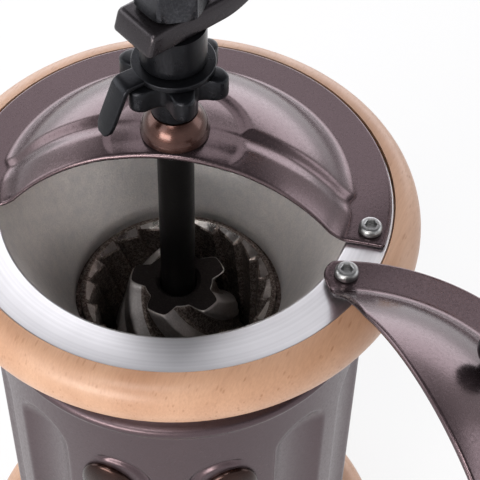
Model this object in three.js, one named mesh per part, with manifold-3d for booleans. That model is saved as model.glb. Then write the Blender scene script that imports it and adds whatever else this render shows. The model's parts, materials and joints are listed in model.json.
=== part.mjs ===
// Hand-cranked coffee mill: a fluted round body between a beech base and a beech ring,
// an open hopper under a half dome, a swing door, conical burrs, a crank and a grounds drawer.
// Millimetres, +Z up, front towards -Y. The origin is under the middle of the foot pad.

import * as THREE from 'three';
import { mergeVertices } from 'three/addons/utils/BufferGeometryUtils.js';
import Module from 'manifold-3d';

const wasm = await Module();
wasm.setup();

// Fits shared by all pieces
const seat = 0.3;                   // between faces that rest on each other
const play = 0.3;                   // round shanks, spigots and shafts in their holes
const overrun = 2;                  // how far a cutting tool runs past the piece it cuts

// Facets
const roundSides = 40;
const middleSides = 24;
const hubSides = 20;
const boreSides = 16;
const smallSides = 8;
const hexSides = 6;
const noseSteps = 6;
const domeSides = 32;
const domeSteps = 5;
const arcSteps = 5;
const cornerSteps = 3;
const earSteps = 10;

// Foot pad and base
const padInset = 9;                 // pad's edge inside the base's
const padThick = 2;
const baseProud = 14.7;             // base beyond the shell
const baseThick = 18;
const baseNose = 7;                 // how far the rounded edge of the base reaches in

// Body shell
const shellRadius = 44.3;
const shellWall = 1.4;
const shellHeight = 135.1;
const shellLipWidth = 6.4;          // in-turned lip under the ring
const shellLipThick = 1.6;
const beadDepth = 0.9;              // rolled bead round the top and the foot
const beadHeight = 3;
const topBeadDrop = 12.7;           // top of the shell to the middle of its bead
const fluteCount = 11;
const flutePitchDeg = 27.6;
const fluteWidth = 15;
const fluteDepth = 2.6;
const fluteSides = 20;
const fluteTopDrop = 23.1;          // top of the shell to the round top of a flute
const fluteFoot = 12;               // bottom of the shell to the round foot of a flute
const lugWidth = 11;
const lugReach = 8;
const lugThick = 2.4;
const lugDegs = [90, 200, 340];

// Plain ornament on the front: two oval bosses, each under an arched groove
const ovalDegs = [254, 287];
const ovalLeanDegs = [-14, 14];
const ovalWidth = 16.6;
const ovalHeight = 23.4;
const ovalProud = 2;
const ovalBelly = 1.4;              // egg's middle below the shell's face
const ovalTopDrop = 28.1;           // top of the shell to the top of an oval
const browRadius = 6.6;
const browWire = 0.7;
const browDrop = 25.2;              // top of the shell to the top of a groove
const browDegs = [257, 284];
const browLeanDegs = [-20, 20];

// Beech ring
const ringOverhang = 10;            // ring beyond the shell
const ringThick = 14.6;
const ringNose = 6.2;
const ringProud = 0.6;              // wood above the hopper's flange
const ringFootGap = 1.1;            // ring's foot round the hopper's cone
const ringScrewDegs = [30, 150, 270];

// Hopper
const ringLand = 6.4;               // wood outside the flange
const flangeThick = 1.2;
const flangeWidth = 9;              // flange's edge to the mouth
const coneDepth = 31;
const neckLedge = 1.9;              // cone's foot beyond the ring burr
const hopperWall = 1.6;
const lipEase = 0.4;                // blend of the mouth into the flange
const lipDrop = 0.6;
const footEase = 1;                 // blend of the cone into the neck
const footTuck = 0.2;
const footDrop = 2;
const neckDepth = 4.6;              // straight neck under the cone
const neckFlangeThick = 2.6;

// Burr housing, ring burr and cone burr
const burrShare = 0.5214;           // ring burr's radius to the shell's
const burrSink = 2.4;               // cone's foot to the top of the ring burr
const burrHeight = 24.1;
const burrRimWidth = 1.6;
const burrTaper = 5.2;              // ring burr's rim to its bore at the foot
const burrTeeth = 20;
const burrToothDepth = 2.7;
const burrToothFootDepth = 0.55;
const burrSlantDeg = 24;
const burrBiteShares = [0, 1, 0.62, 0.3];
const burrBiteStartShare = 0.25;    // depth of the teeth at the rim
const burrBiteGrow = 6;
const burrRows = 5;
const housingWall = 3.6;
const housingFlangeThick = 3;
const housingLedge = 3.4;
const housingLedgeThick = 4.2;
const housingScrewDegs = [60, 180, 300];
const coneProud = 1;                // cone burr above the cone's foot
const coneHeight = 26.4;
const coneTopRadius = 10.9;
const coneFlutes = 5;
const coneFluteDepth = 2.9;
const coneTwistDeg = 115;
const coneLobeDeg = 17;
const coneFineTeeth = 25;
const coneFineDepth = 0.8;
const coneFinePoints = 3;
const coneRows = 8;
const coneFluteStartShare = 0.12;   // where the flutes begin, from the foot
const coneFluteGrowShare = 0.4;
const coneFineEndShare = 0.62;      // where the fine teeth end
const coneFineFadeShare = 0.3;
const coneSwellPower = 1.25;
const coneHookPower = 0.7;
const grindGap = 0.5;               // between the fine teeth of the two burrs

// Shaft, spider and lower bearing
const shaftRadius = 4;
const shaftTail = 25;               // shaft below the cone burr
const washerThick = 0.8;
const clipThick = 0.8;
const clipReach = 2.6;
const clipMouthShare = 0.7;
const spiderThick = 2.5;
const spiderArmWidth = 7;
const spiderArms = 3;
const bossRadius = 8;
const bossDrop = 4;
const bushWall = 1.8;

// Funnel over the drawer
const funnelWall = 0.8;
const funnelSkirt = 27;
const outletLift = 10.6;            // outlet above the drawer
const outletInset = 4;              // outlet inside the drawer's sides

// Hopper cover and door, in a frame turned with the cover's straight edge
const coverTurnDeg = -5.6;
const coverInset = 0.6;             // cover's edge inside the flange's
const sheetThick = 1;
const domeRise = 20.7;              // flange top to the top of the dome
const domeSeat = 0.4;               // dome's foot outside the mouth
const edgeReach = 10.5;             // straight edge in front of the shaft
const joggleDepth = 1.2;
const joggleWidth = 14.5;           // lowered band along the straight edge
const jogglePad = 14.5;             // radius of the lowered pad round the hub
const rolledWire = 0.8;
const doorGap = 1;
const doorEarRadius = 5;
const doorShoulder = 20;            // straight edge's end behind the pivot
const screwInset = 4;               // cover's edge to its screws and the pivot
const doorPivotDeg = -26.6;
const doorLift = 0.9;               // door's sheet above the cover's sheet
const doorSpacerRadius = 4;
const doorOpenDeg = 122;
const doorKnobReach = 30;
const doorKnobRadius = 4;
const doorKnobNeck = 2;
const doorKnobFlareDeg = 60;
const doorKnobHeight = 8;
const coverScrewDeg = 7.7;

// Hub bush, its ring, and the spring under the lower bush
const hubRadius = 7.4;
const hubLandRadius = 4.9;
const spigotWall = 1.5;
const bushRingReach = 3.4;
const bushRingThick = 0.8;
const springWire = 0.9;
const springCurls = 2.5;
const springPitch = 1.6;
const springLoose = 0.5;            // spring's bore clear of the shaft
const springSteps = 8;              // per curl
const springSides = 5;

// Star nut, stopper plate, crank and cap nut above the hub
const starLobes = 6;
const starRadius = 11.5;
const starNotch = 4.2;
const starThick = 5.4;
const starChamfer = 1;
const starSteps = 8;                // per lobe
const starLobeDeg = -15;
const starLift = 6.8;               // collar between the hub and the star
const plateRadius = 8.6;
const plateThick = 1.4;
const tabWidth = 5;
const tabReach = 4.2;
const tabDrop = 10;
const tabThick = 1.2;
const tabDeg = -145;
const crankDeg = 41;
const crankThick = 5.2;
const crankWidth = 11.6;
const crankTail = 10.5;             // square end behind the axis
const crankTailLean = 1.6;          // slant of that end
const crankCorner = 1.4;
const crankBossRadius = 6.8;
const crankBossHeight = 9.2;
const crankFlat = 8;                // level bar in front of the axis
const crankLength = 110;
const crankRise = 20.5;
const crankSlopeDeg = 32;
const crankLowBend = 12;
const crankHighBend = 14;
const capRadius = 7.6;
const capHeight = 8.2;
const capCrown = 5.2;               // reach and drop of the rounded top
const capCrownDrop = 3.4;
const capCornerDeg = 12.5;
const capCover = 2;                 // nut above the shaft's end

// Crank knob
const knobRadius = 13;
const knobHeight = 30;
const knobNeckRadius = 7.5;
const knobWidestShare = 0.62;
const knobSteps = 5;
const pinRadius = 2.5;
const pinHeadRadius = 4.6;
const pinHeadThick = 1.6;
const pinCrown = 0.9;

// Screws: head radius, head height, shank radius
const screwHead = 2.6;
const screwHeadHeight = 1.7;
const screwShank = 1.4;
const screwGrip = 6;                // shank beyond the piece that the head holds
const crownShare = 0.5;            // rounded part of a screw's head
const socketRadius = 1.3;
const socketDepth = 0.9;
const baseScrewHead = 4;
const baseScrewHeadHeight = 2.6;
const baseScrewShank = 2;

// Drawer, its guide and its knob
const drawerWidthShare = 1.038;     // drawer's width to the shell's radius
const drawerLengthShare = 1.4;
const drawerHeight = 33;
const drawerWall = 1.5;
const guideWall = 1;
const guideRise = 14;
const guideScrewShare = 0.24;       // guide screws' reach to the drawer's length
const guideSinkShare = 0.2;
const frontThick = 2.6;
const frontProud = 0.6;
const frontGap = 0.6;
const frontOverlap = 3;             // front above the drawer box
const drawerKnobRadius = 7;
const drawerKnobLength = 13;
const drawerKnobNeck = 3.5;
const drawerKnobFlare = 1;
const drawerKnobFlatShare = 0.75;
const drawerKnobFlareDeg = 50;

// Sizes that follow the shell's radius
const ringRadius = shellRadius + ringOverhang;
const baseRadius = shellRadius + baseProud;
const padRadius = baseRadius - padInset;
const flangeRadius = ringRadius - ringLand;
const coverRadius = flangeRadius - coverInset;
const mouthRadius = flangeRadius - flangeWidth;
const domeFootRadius = mouthRadius + domeSeat;
const screwCircle = coverRadius - screwInset;
const burrRadius = shellRadius * burrShare;
const burrFootBore = burrRadius - burrTaper;
const coneFootRadius = burrRadius + neckLedge;
const drawerWidth = shellRadius * drawerWidthShare;
const drawerLength = shellRadius * drawerLengthShare;
const guideScrewReach = drawerLength * guideScrewShare;
const funnelOutlet = drawerWidth / 2 - outletInset;

// Levels
const baseLow = padThick + seat;
const baseTop = baseLow + baseThick;
const shellLow = baseTop + seat;
const shellTop = shellLow + shellHeight;
const ringLow = shellTop + seat;
const ringTop = ringLow + ringThick;
const rim = ringTop - ringProud;
const neckLow = rim - coneDepth - neckDepth;
const housingTop = neckLow - seat;
const burrTop = rim - coneDepth - burrSink;
const burrLow = burrTop - burrHeight;
const ledgeTop = burrLow - seat;
const housingLow = ledgeTop - housingLedgeThick;
const spiderTop = housingLow - seat;
const coneTop = rim - coneDepth + coneProud;
const coneLow = coneTop - coneHeight;
const coverLow = rim + seat;
const coverTop = coverLow + sheetThick;
const domeTop = coverTop + domeRise;

// The dome is part of a sphere through its foot circle and its top
const domeRadius = (domeFootRadius ** 2 + domeRise ** 2) / (2 * domeRise);
const domeCentre = domeTop - domeRadius;
const domeLevel = (radius, lowered) => domeCentre + Math.sqrt((domeRadius - lowered) ** 2 - radius ** 2);

const hubHole = shaftRadius + play + spigotWall + play;
const hubLow = domeLevel(hubHole, joggleDepth) + seat;
const hubTop = hubLow + Math.sqrt(hubRadius ** 2 - hubLandRadius ** 2);
const bushRingRadius = hubHole + bushRingReach;
const bushRingTop = domeLevel(bushRingRadius, joggleDepth + sheetThick) - seat;
const spigotLow = bushRingTop - bushRingThick - seat;
const bushLow = spiderTop - spiderThick - bossDrop - seat - bushWall;
const springTop = bushLow - seat;
const springLow = springTop - springCurls * springPitch - 2 * springWire;
const springWasherTop = springLow - seat;
const springClipTop = springWasherTop - washerThick - seat;
const collarLow = hubTop + seat;
const starLow = collarLow + starLift;
const starTop = starLow + starThick;
const plateLow = starTop + seat;
const crankLow = plateLow + plateThick + seat;
const crankBarLow = crankLow + crankBossHeight;
const crankTop = crankBarLow + crankThick;
const capLow = crankTop + seat;
const capTop = capLow + capHeight;
const shaftTop = capTop - capCover;
const burrWasherTop = coneLow - seat;
const burrClipTop = burrWasherTop - washerThick - seat;
const shaftLow = coneLow - shaftTail;
const armTop = crankTop + crankRise;

// The hopper's cone from outside, and the wooden ring round it
const coneSlope = (mouthRadius - coneFootRadius) / coneDepth;
const coneSide = hopperWall * Math.sqrt(1 + coneSlope ** 2);
const hopperOuter = (level) => mouthRadius + coneSide - (rim - level) * coneSlope;
const ringFootBore = hopperOuter(ringLow) + ringFootGap;

const boreRadius = shaftRadius + play;
const screwHole = screwShank + play;
const shellBore = shellRadius - shellWall;
const fluteBore = shellBore - fluteDepth;
const housingBore = burrRadius + seat;
const housingRadius = housingBore + housingWall;
const skirtRadius = housingRadius + seat + funnelWall;
const neckFlangeRadius = skirtRadius + 2 * (screwHead + seat);
const neckBore = coneFootRadius - lipDrop;
const guideLow = baseTop + seat;
const drawerLow = guideLow + guideWall + seat;
const drawerTop = drawerLow + drawerHeight;
const frontLow = baseTop + frontGap;
const frontTop = drawerTop + frontOverlap;
const frontFace = shellRadius + frontProud - frontThick;

const rad = THREE.MathUtils.degToRad;
const { clamp } = THREE.MathUtils;
const polar = (radius, degrees) => [radius * Math.cos(rad(degrees)), radius * Math.sin(rad(degrees))];

// Solids

function toSolid(geometry) {
  const bare = geometry.clone();
  bare.deleteAttribute('normal');
  bare.deleteAttribute('uv');
  const merged = mergeVertices(bare);
  const corners = merged.index.array;
  const kept = [];
  for (let i = 0; i < corners.length; i += 3) {
    const [a, b, c] = corners.subarray(i, i + 3);
    if (a !== b && b !== c && c !== a) kept.push(a, b, c);
  }
  const vertProperties = merged.attributes.position.array;
  return new wasm.Manifold(new wasm.Mesh({ numProp: 3, vertProperties, triVerts: new Uint32Array(kept) }));
}

function toGeometry(body) {
  const { vertProperties, triVerts } = body.getMesh();
  const geometry = new THREE.BufferGeometry();
  geometry.setAttribute('position', new THREE.BufferAttribute(vertProperties, 3));
  geometry.setIndex(new THREE.BufferAttribute(triVerts, 1));
  geometry.computeVertexNormals();
  return geometry;
}

const joined = (...bodies) => bodies.reduce((sum, body) => sum.add(body));
const without = (body, ...tools) => tools.reduce((rest, tool) => rest.subtract(tool), body);

// A [radius, height] profile turned round the Z axis, counter-clockwise, closed on itself or on the axis
function turned(profile, sides = roundSides) {
  const points = profile.map(([radius, height]) => new THREE.Vector2(radius, height));
  const onAxis = profile[0][0] === 0 && profile.at(-1)[0] === 0;
  if (!onAxis) points.push(points[0].clone());
  return toSolid(new THREE.LatheGeometry(points, sides).rotateX(Math.PI / 2));
}

function rod(radius, low, high, sides = smallSides) {
  return turned([[0, low], [radius, low], [radius, high], [0, high]], sides);
}

function tube(inner, outer, low, high, sides = smallSides) {
  return turned([[inner, low], [outer, low], [outer, high], [inner, high]], sides);
}

const outline = (points) => new THREE.Shape(points.map(([x, y]) => new THREE.Vector2(x, y)));

function prism(points, low, high) {
  const geometry = new THREE.ExtrudeGeometry(outline(points), { depth: high - low, bevelEnabled: false });
  return toSolid(geometry.translate(0, 0, low));
}

function box(x0, x1, y0, y1, z0, z1) {
  return prism([[x0, y0], [x1, y0], [x1, y1], [x0, y1]], z0, z1);
}

const moved = (body, x, y, z = 0) => body.translate([x, y, z]);
const spun = (body, degrees) => body.rotate([0, 0, degrees]);

// Points of an arc from one angle to another, both ends included
function arc(cx, cy, radius, fromDeg, toDeg, steps = arcSteps) {
  return Array.from({ length: steps + 1 }, (_, i) => {
    const angle = rad(fromDeg + ((toDeg - fromDeg) * i) / steps);
    return [cx + radius * Math.cos(angle), cy + radius * Math.sin(angle)];
  });
}

// Round section of a wire
function wireRound(radius, sides) {
  return outline(arc(0, 0, radius, 0, 360 - 360 / sides, sides - 1));
}

// Half of an ellipse that rounds the outer edge of a disc, from its bottom to its top
function bullnose(radius, reach, low, high, steps = noseSteps) {
  const half = (high - low) / 2;
  return Array.from({ length: steps + 1 }, (_, i) => {
    const angle = rad(-90 + (180 * i) / steps);
    return [radius - reach + reach * Math.cos(angle), low + half + half * Math.sin(angle)];
  });
}

// Rings of equal count, each joined to the next and the last to the first
function ringed(rings) {
  const count = rings[0].length;
  const corners = [];
  rings.forEach((_, row) => {
    const here = row * count;
    const next = ((row + 1) % rings.length) * count;
    for (let k = 0; k < count; k += 1) {
      const after = (k + 1) % count;
      corners.push(here + k, here + after, next + after, here + k, next + after, next + k);
    }
  });
  const geometry = new THREE.BufferGeometry();
  geometry.setAttribute('position', new THREE.Float32BufferAttribute(rings.flat(2), 3));
  geometry.setIndex(corners);
  return toSolid(geometry);
}

// A ring of points at one level, its radius and turn given by functions of the point's number
function ringAt(level, count, radiusAt, turnDeg = 0) {
  return Array.from({ length: count }, (_, k) => {
    const [x, y] = polar(radiusAt(k), (360 * k) / count + turnDeg);
    return [x, y, level];
  });
}

// Plain screw standing on Z = 0 with its shank down
function screw(head, headHeight, shank, length) {
  return turned([
    [0, -length], [shank, -length], [shank, 0], [head, 0], [head, headHeight * crownShare],
    [head * (1 - crownShare), headHeight], [0, headHeight],
  ], smallSides);
}

// Button-head screw with a hexagon socket, for the places that show
function buttonScrew(head, headHeight, shank, length) {
  const dome = arc(0, 0, 1, 0, 90, cornerSteps).map(
    ([x, y]) => [head * (1 - crownShare + crownShare * x), headHeight * (crownShare + (1 - crownShare) * y)]);
  const body = turned([
    [0, -length], [shank, -length], [shank, 0], [head, 0], ...dome, [0, headHeight],
  ], hubSides);
  return without(body, rod(socketRadius, headHeight - socketDepth, headHeight + overrun, hexSides));
}

// Foot and base

function footPad() {
  return rod(padRadius, 0, padThick, roundSides);
}

const lugCircle = fluteBore - lugReach / 2;
const baseScrewPlaces = lugDegs.map((degrees) => polar(lugCircle, degrees));
const guideScrewPlaces = [-1, 1].map((side) => [0, side * guideScrewReach]);

function woodBase() {
  const nose = bullnose(baseRadius, baseNose, baseLow, baseTop);
  const disc = turned([[0, baseLow], ...nose, [0, baseTop]]);
  const counterbores = baseScrewPlaces.flatMap(([x, y]) => [
    moved(rod(baseScrewHead + play, baseLow - overrun, baseLow + baseScrewHeadHeight + seat), x, y),
    moved(rod(baseScrewShank + play, baseLow - overrun, baseTop + overrun), x, y),
  ]);
  const pilots = guideScrewPlaces.map(([x, y]) => moved(
    rod(screwHole, baseTop - screwGrip - seat, baseTop + overrun), x, y));
  return without(disc, ...counterbores, ...pilots);
}

// Base screws stand head down in their counterbores and end in the shell's lugs
function baseScrew([x, y]) {
  const length = shellLow + lugThick - baseLow - baseScrewHeadHeight;
  const body = screw(baseScrewHead, baseScrewHeadHeight, baseScrewShank, length);
  return moved(body.rotate([180, 0, 0]), x, y, baseLow + baseScrewHeadHeight);
}

// Body shell

// Flute: an upright capsule that dips into the round wall
function flute() {
  const half = fluteWidth / 2;
  const edge = Math.sqrt(shellRadius ** 2 - half ** 2);
  const dip = edge - (shellRadius - fluteDepth);
  const radius = (half ** 2 + dip ** 2) / (2 * dip);
  const reach = Math.sqrt(radius ** 2 - (radius - fluteDepth) ** 2);
  const topEnd = shellTop - fluteTopDrop - reach;
  const footEnd = shellLow + fluteFoot + reach;
  const top = arc(0, topEnd, radius, 0, 90);
  const foot = arc(0, footEnd, radius, -90, 0);
  foot[0][0] = 0;
  top[top.length - 1][0] = 0;
  return moved(turned([...foot, ...top], fluteSides), shellRadius - fluteDepth + radius, 0);
}

// Flutes go round the sides and the back, spread evenly about the back
function flutes() {
  const first = 90 - (flutePitchDeg * (fluteCount - 1)) / 2;
  return Array.from({ length: fluteCount }, (_, i) => spun(flute(), first + i * flutePitchDeg));
}

function beadAt(level) {
  const half = beadHeight / 2;
  return [[shellRadius, level - half], [shellRadius + beadDepth, level], [shellRadius, level + half]];
}

function bodyShell() {
  const skin = turned([
    [0, shellLow], [shellRadius + beadDepth, shellLow], [shellRadius + beadDepth, shellLow + beadHeight / 2],
    [shellRadius, shellLow + beadHeight], ...beadAt(shellTop - topBeadDrop),
    [shellRadius, shellTop], [0, shellTop],
  ]);
  const stepLevel = shellTop - fluteTopDrop + shellWall;
  const room = turned([
    [0, shellLow - overrun], [fluteBore, shellLow - overrun], [fluteBore, stepLevel],
    [shellBore, stepLevel + fluteDepth], [shellBore, shellTop - shellLipThick], [0, shellTop - shellLipThick],
  ]);
  const lipLow = shellTop - shellLipThick;
  const mouth = rod(shellBore - shellLipWidth, lipLow - overrun, shellTop + overrun, roundSides);
  const half = lugWidth / 2;
  const lug = box(
    fluteBore - lugReach, fluteBore + shellWall / 2, -half, half, shellLow, shellLow + lugThick);
  const lugs = lugDegs.map((degrees) => spun(lug, degrees));
  const lugHoles = baseScrewPlaces.map(([x, y]) => moved(
    rod(baseScrewShank + play, shellLow - overrun, shellLow + lugThick + overrun), x, y));
  const lipHoles = ringScrewPlaces.map(([x, y]) => moved(
    rod(screwHole, lipLow - overrun, shellTop + overrun), x, y));
  const doorway = box(
    -drawerWidth / 2 - frontGap, drawerWidth / 2 + frontGap, -shellRadius - overrun, -shellRadius / 2,
    shellLow - overrun, frontTop + frontGap);
  const wall = without(skin, room, mouth, doorway, ...flutes(), ...browGrooves());
  return without(joined(wall, ...lugs), ...lugHoles, ...lipHoles);
}

// Upright plane tangent to the shell, for what is put on its front
function onShell(body, degrees, depth, level, leanDeg = 0) {
  const [x, y] = polar(shellRadius + depth, degrees);
  return moved(spun(body.rotate([leanDeg, 0, 0]), degrees), x, y, level);
}

function browGrooves() {
  const ring = new THREE.TorusGeometry(browRadius, browWire, hexSides, domeSides);
  const hoop = toSolid(ring.rotateY(Math.PI / 2));
  const reach = browRadius + browWire + overrun;
  const upper = hoop.intersect(box(-reach, reach, -reach, reach, 0, reach));
  return browDegs.map((degrees, i) => onShell(
    upper, degrees, 0, shellTop - browDrop - browRadius, browLeanDegs[i]));
}

function ovalBoss(index) {
  const depth = ovalProud + ovalBelly;
  const egg = new THREE.SphereGeometry(1, middleSides, boreSides).rotateX(Math.PI / 2);
  egg.scale(depth, ovalWidth / 2, ovalHeight / 2);
  const placed = onShell(toSolid(egg), ovalDegs[index], ovalProud - depth,
    shellTop - ovalTopDrop - ovalHeight / 2, ovalLeanDegs[index]);
  return without(placed, rod(shellRadius + seat, shellLow, shellTop, roundSides * 2));
}

// Beech ring and its screws

const ringScrewCircle = shellBore - screwHead - seat;
const ringScrewPlaces = ringScrewDegs.map((degrees) => polar(ringScrewCircle, degrees));
const pivotPlace = polar(screwCircle, doorPivotDeg + coverTurnDeg);
const coverScrewPlaces = [-coverScrewDeg, 180 + coverScrewDeg].map(
  (degrees) => polar(screwCircle, degrees + coverTurnDeg));
const flangeScrewPlaces = [...coverScrewPlaces, pivotPlace];

function woodRing() {
  const rebate = rim - flangeThick - seat;
  const nose = bullnose(ringRadius, ringNose, ringLow, ringTop);
  const body = turned([
    [ringFootBore, ringLow], ...nose, [flangeRadius + seat, ringTop], [flangeRadius + seat, rebate],
    [mouthRadius + hopperWall + seat * 2, rebate],
  ]);
  const fromBelow = ringScrewPlaces.map(([x, y]) => moved(
    rod(screwHole, ringLow - overrun, ringLow + screwGrip + seat), x, y));
  const fromAbove = flangeScrewPlaces.map(([x, y]) => moved(
    rod(screwHole, rebate - screwGrip - seat, rebate + overrun), x, y));
  return without(body, ...fromBelow, ...fromAbove);
}

function ringScrew([x, y]) {
  const headFace = shellTop - shellLipThick - seat;
  const length = ringLow + screwGrip - headFace;
  const body = screw(screwHead, screwHeadHeight, screwShank, length);
  return moved(body.rotate([180, 0, 0]), x, y, headFace);
}

// Hopper

function hopperBowl() {
  const coneLowLevel = rim - coneDepth;
  const flangeLow = rim - flangeThick;
  const neckFlangeTop = neckLow + neckFlangeThick;
  const body = turned([
    [neckBore, neckLow], [neckFlangeRadius, neckLow], [neckFlangeRadius, neckFlangeTop],
    [hopperOuter(neckFlangeTop), neckFlangeTop], [hopperOuter(flangeLow), flangeLow],
    [flangeRadius, flangeLow],
    [flangeRadius, rim], [mouthRadius + lipEase, rim], [mouthRadius - lipEase, rim - lipDrop],
    [coneFootRadius + lipDrop, coneLowLevel + footEase],
    [coneFootRadius - footTuck, coneLowLevel - lipEase], [neckBore, coneLowLevel - footDrop],
  ]);
  const holes = flangeScrewPlaces.map(([x, y]) => moved(
    rod(screwHole, flangeLow - overrun, rim + overrun), x, y));
  const tapped = housingScrewPlaces.map(([x, y]) => moved(
    rod(screwHole, neckLow - overrun, neckFlangeTop + overrun), x, y));
  return without(body, ...holes, ...tapped);
}

// Burr housing with the ring burr, and the funnel that hangs from the same flange

const housingScrewCircle = (skirtRadius + neckFlangeRadius) / 2;
const housingScrewPlaces = housingScrewDegs.map((degrees) => polar(housingScrewCircle, degrees));

function burrHousing() {
  const flangeLow = housingTop - housingFlangeThick;
  const body = turned([
    [housingBore - housingLedge, housingLow], [housingRadius, housingLow], [housingRadius, flangeLow],
    [neckFlangeRadius, flangeLow], [neckFlangeRadius, housingTop], [housingBore, housingTop],
    [housingBore, ledgeTop], [housingBore - housingLedge, ledgeTop],
  ], middleSides);
  const holes = housingScrewPlaces.map(([x, y]) => moved(
    rod(screwHole, flangeLow - overrun, housingTop + overrun), x, y));
  const taps = spiderScrewPlaces.map(([x, y]) => moved(
    rod(screwHole, housingLow - overrun, ledgeTop - seat), x, y));
  return without(body, ...holes, ...taps);
}

function ringBurr() {
  const points = burrBiteShares.length;
  const count = burrTeeth * points;
  const rootTop = burrRadius - burrRimWidth;
  const inner = Array.from({ length: burrRows + 1 }, (_, i) => {
    const share = i / burrRows;
    const root = THREE.MathUtils.lerp(rootTop, burrFootBore, share);
    const grow = Math.min(1, share * burrBiteGrow + burrBiteStartShare);
    const bite = THREE.MathUtils.lerp(burrToothDepth, burrToothFootDepth, share) * grow;
    const level = burrTop - burrHeight * share;
    return ringAt(level, count, (k) => root - bite * burrBiteShares[k % points], burrSlantDeg * share);
  });
  const outer = [burrLow, burrTop].map((level) => ringAt(level, count, () => burrRadius));
  return ringed([...outer, ...inner]);
}

const funnelTop = housingTop - housingFlangeThick - seat;

function groundsFunnel() {
  const bore = housingRadius + seat;
  const skirtLow = funnelTop - funnelSkirt;
  const outletLow = drawerTop + outletLift;
  const body = turned([
    [funnelOutlet, outletLow], [funnelOutlet + funnelWall, outletLow], [bore + funnelWall, skirtLow],
    [bore + funnelWall, funnelTop - funnelWall], [neckFlangeRadius, funnelTop - funnelWall],
    [neckFlangeRadius, funnelTop], [bore, funnelTop], [bore, skirtLow],
  ], middleSides);
  const holes = housingScrewPlaces.map(([x, y]) => moved(
    rod(screwHole, funnelTop - funnelWall - overrun, funnelTop + overrun), x, y));
  return without(body, ...holes);
}

function housingScrew([x, y]) {
  const headFace = funnelTop - funnelWall - seat;
  const length = neckLow + neckFlangeThick - headFace;
  return moved(screw(screwHead, screwHeadHeight, screwShank, length).rotate([180, 0, 0]), x, y, headFace);
}

// Spider with the lower bush

const spiderScrewCircle = housingRadius - screwHead - seat;
const spiderArmDegs = Array.from({ length: spiderArms }, (_, i) => 90 + (360 / spiderArms) * i);
const spiderScrewPlaces = spiderArmDegs.map((degrees) => polar(spiderScrewCircle, degrees));

function lowerSpider() {
  const spiderLow = spiderTop - spiderThick;
  const hoop = tube(housingBore - housingLedge, housingRadius, spiderLow, spiderTop, middleSides);
  const boss = rod(bossRadius, spiderLow - bossDrop, spiderTop, boreSides);
  const reach = housingBore - housingLedge / 2;
  const arms = spiderArmDegs.map((degrees) => spun(
    box(0, reach, -spiderArmWidth / 2, spiderArmWidth / 2, spiderLow, spiderTop), degrees));
  const boreLow = spiderLow - bossDrop - overrun;
  const bore = rod(boreRadius + bushWall + play, boreLow, spiderTop + overrun, boreSides);
  const holes = spiderScrewPlaces.map(([x, y]) => moved(
    rod(screwHole, spiderLow - overrun, spiderTop + overrun), x, y));
  return without(joined(hoop, boss, ...arms), bore, ...holes);
}

function lowerBush() {
  const wall = boreRadius + bushWall;
  return turned([
    [boreRadius, bushLow], [bossRadius, bushLow], [bossRadius, bushLow + bushWall],
    [wall, bushLow + bushWall], [wall, spiderTop], [boreRadius, spiderTop],
  ], boreSides);
}

function spiderScrew([x, y]) {
  const headFace = spiderTop - spiderThick - seat;
  const length = ledgeTop - seat * 2 - headFace;
  return moved(screw(screwHead, screwHeadHeight, screwShank, length).rotate([180, 0, 0]), x, y, headFace);
}

// Hopper cover and door, both cut from the same pressed dome

// Filled dome whose surface lies lower than the cover's by the given amount
function domeBlank(lowered, level) {
  const radius = domeRadius - lowered;
  const foot = Math.asin((level - domeCentre) / radius);
  const cap = arc(0, domeCentre, radius, THREE.MathUtils.radToDeg(foot), 90, domeSteps);
  cap[cap.length - 1][0] = 0;
  return turned([[0, level], ...cap], domeSides);
}

function rolledEdge(reach, lowered) {
  const radius = domeRadius - lowered - sheetThick / 2;
  const hoop = Math.sqrt(radius ** 2 - reach ** 2);
  const ends = Math.asin((coverTop + rolledWire - domeCentre) / hoop);
  class Edge extends THREE.Curve {
    getPoint(t, target = new THREE.Vector3()) {
      const angle = THREE.MathUtils.lerp(ends, Math.PI - ends, t);
      return target.set(hoop * Math.cos(angle), -reach, domeCentre + hoop * Math.sin(angle));
    }
  }
  const wire = wireRound(rolledWire, hexSides);
  return toSolid(new THREE.ExtrudeGeometry(wire, {
    steps: boreSides, extrudePath: new Edge(), bevelEnabled: false,
  }));
}

function hopperCover() {
  const wide = coverRadius + overrun;
  const stepLine = joggleWidth - edgeReach;
  const raised = (wall) => without(
    box(-wide, wide, stepLine + wall, wide, coverLow - overrun, domeTop + overrun),
    rod(jogglePad + wall, coverLow - overrun, domeTop + overrun, middleSides));
  const pressed = (wall) => joined(
    domeBlank(wall, coverLow - overrun * (wall > 0)).intersect(raised(wall)),
    domeBlank(joggleDepth + wall, coverLow - overrun * (wall > 0)));
  const flange = rod(coverRadius, coverLow, coverTop, roundSides);
  const sheet = without(joined(flange, pressed(0)), pressed(sheetThick));
  const plan = box(-wide, wide, -edgeReach, wide, coverLow - overrun, domeTop + overrun);
  const trimmed = joined(sheet.intersect(plan), rolledEdge(edgeReach - rolledWire, joggleDepth));
  const holes = [-coverScrewDeg, 180 + coverScrewDeg].map((degrees) => moved(
    rod(screwHole, coverLow - overrun, coverTop + overrun), ...polar(screwCircle, degrees)));
  return without(trimmed, rod(hubHole, domeCentre, domeTop + overrun, boreSides), ...holes);
}

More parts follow.
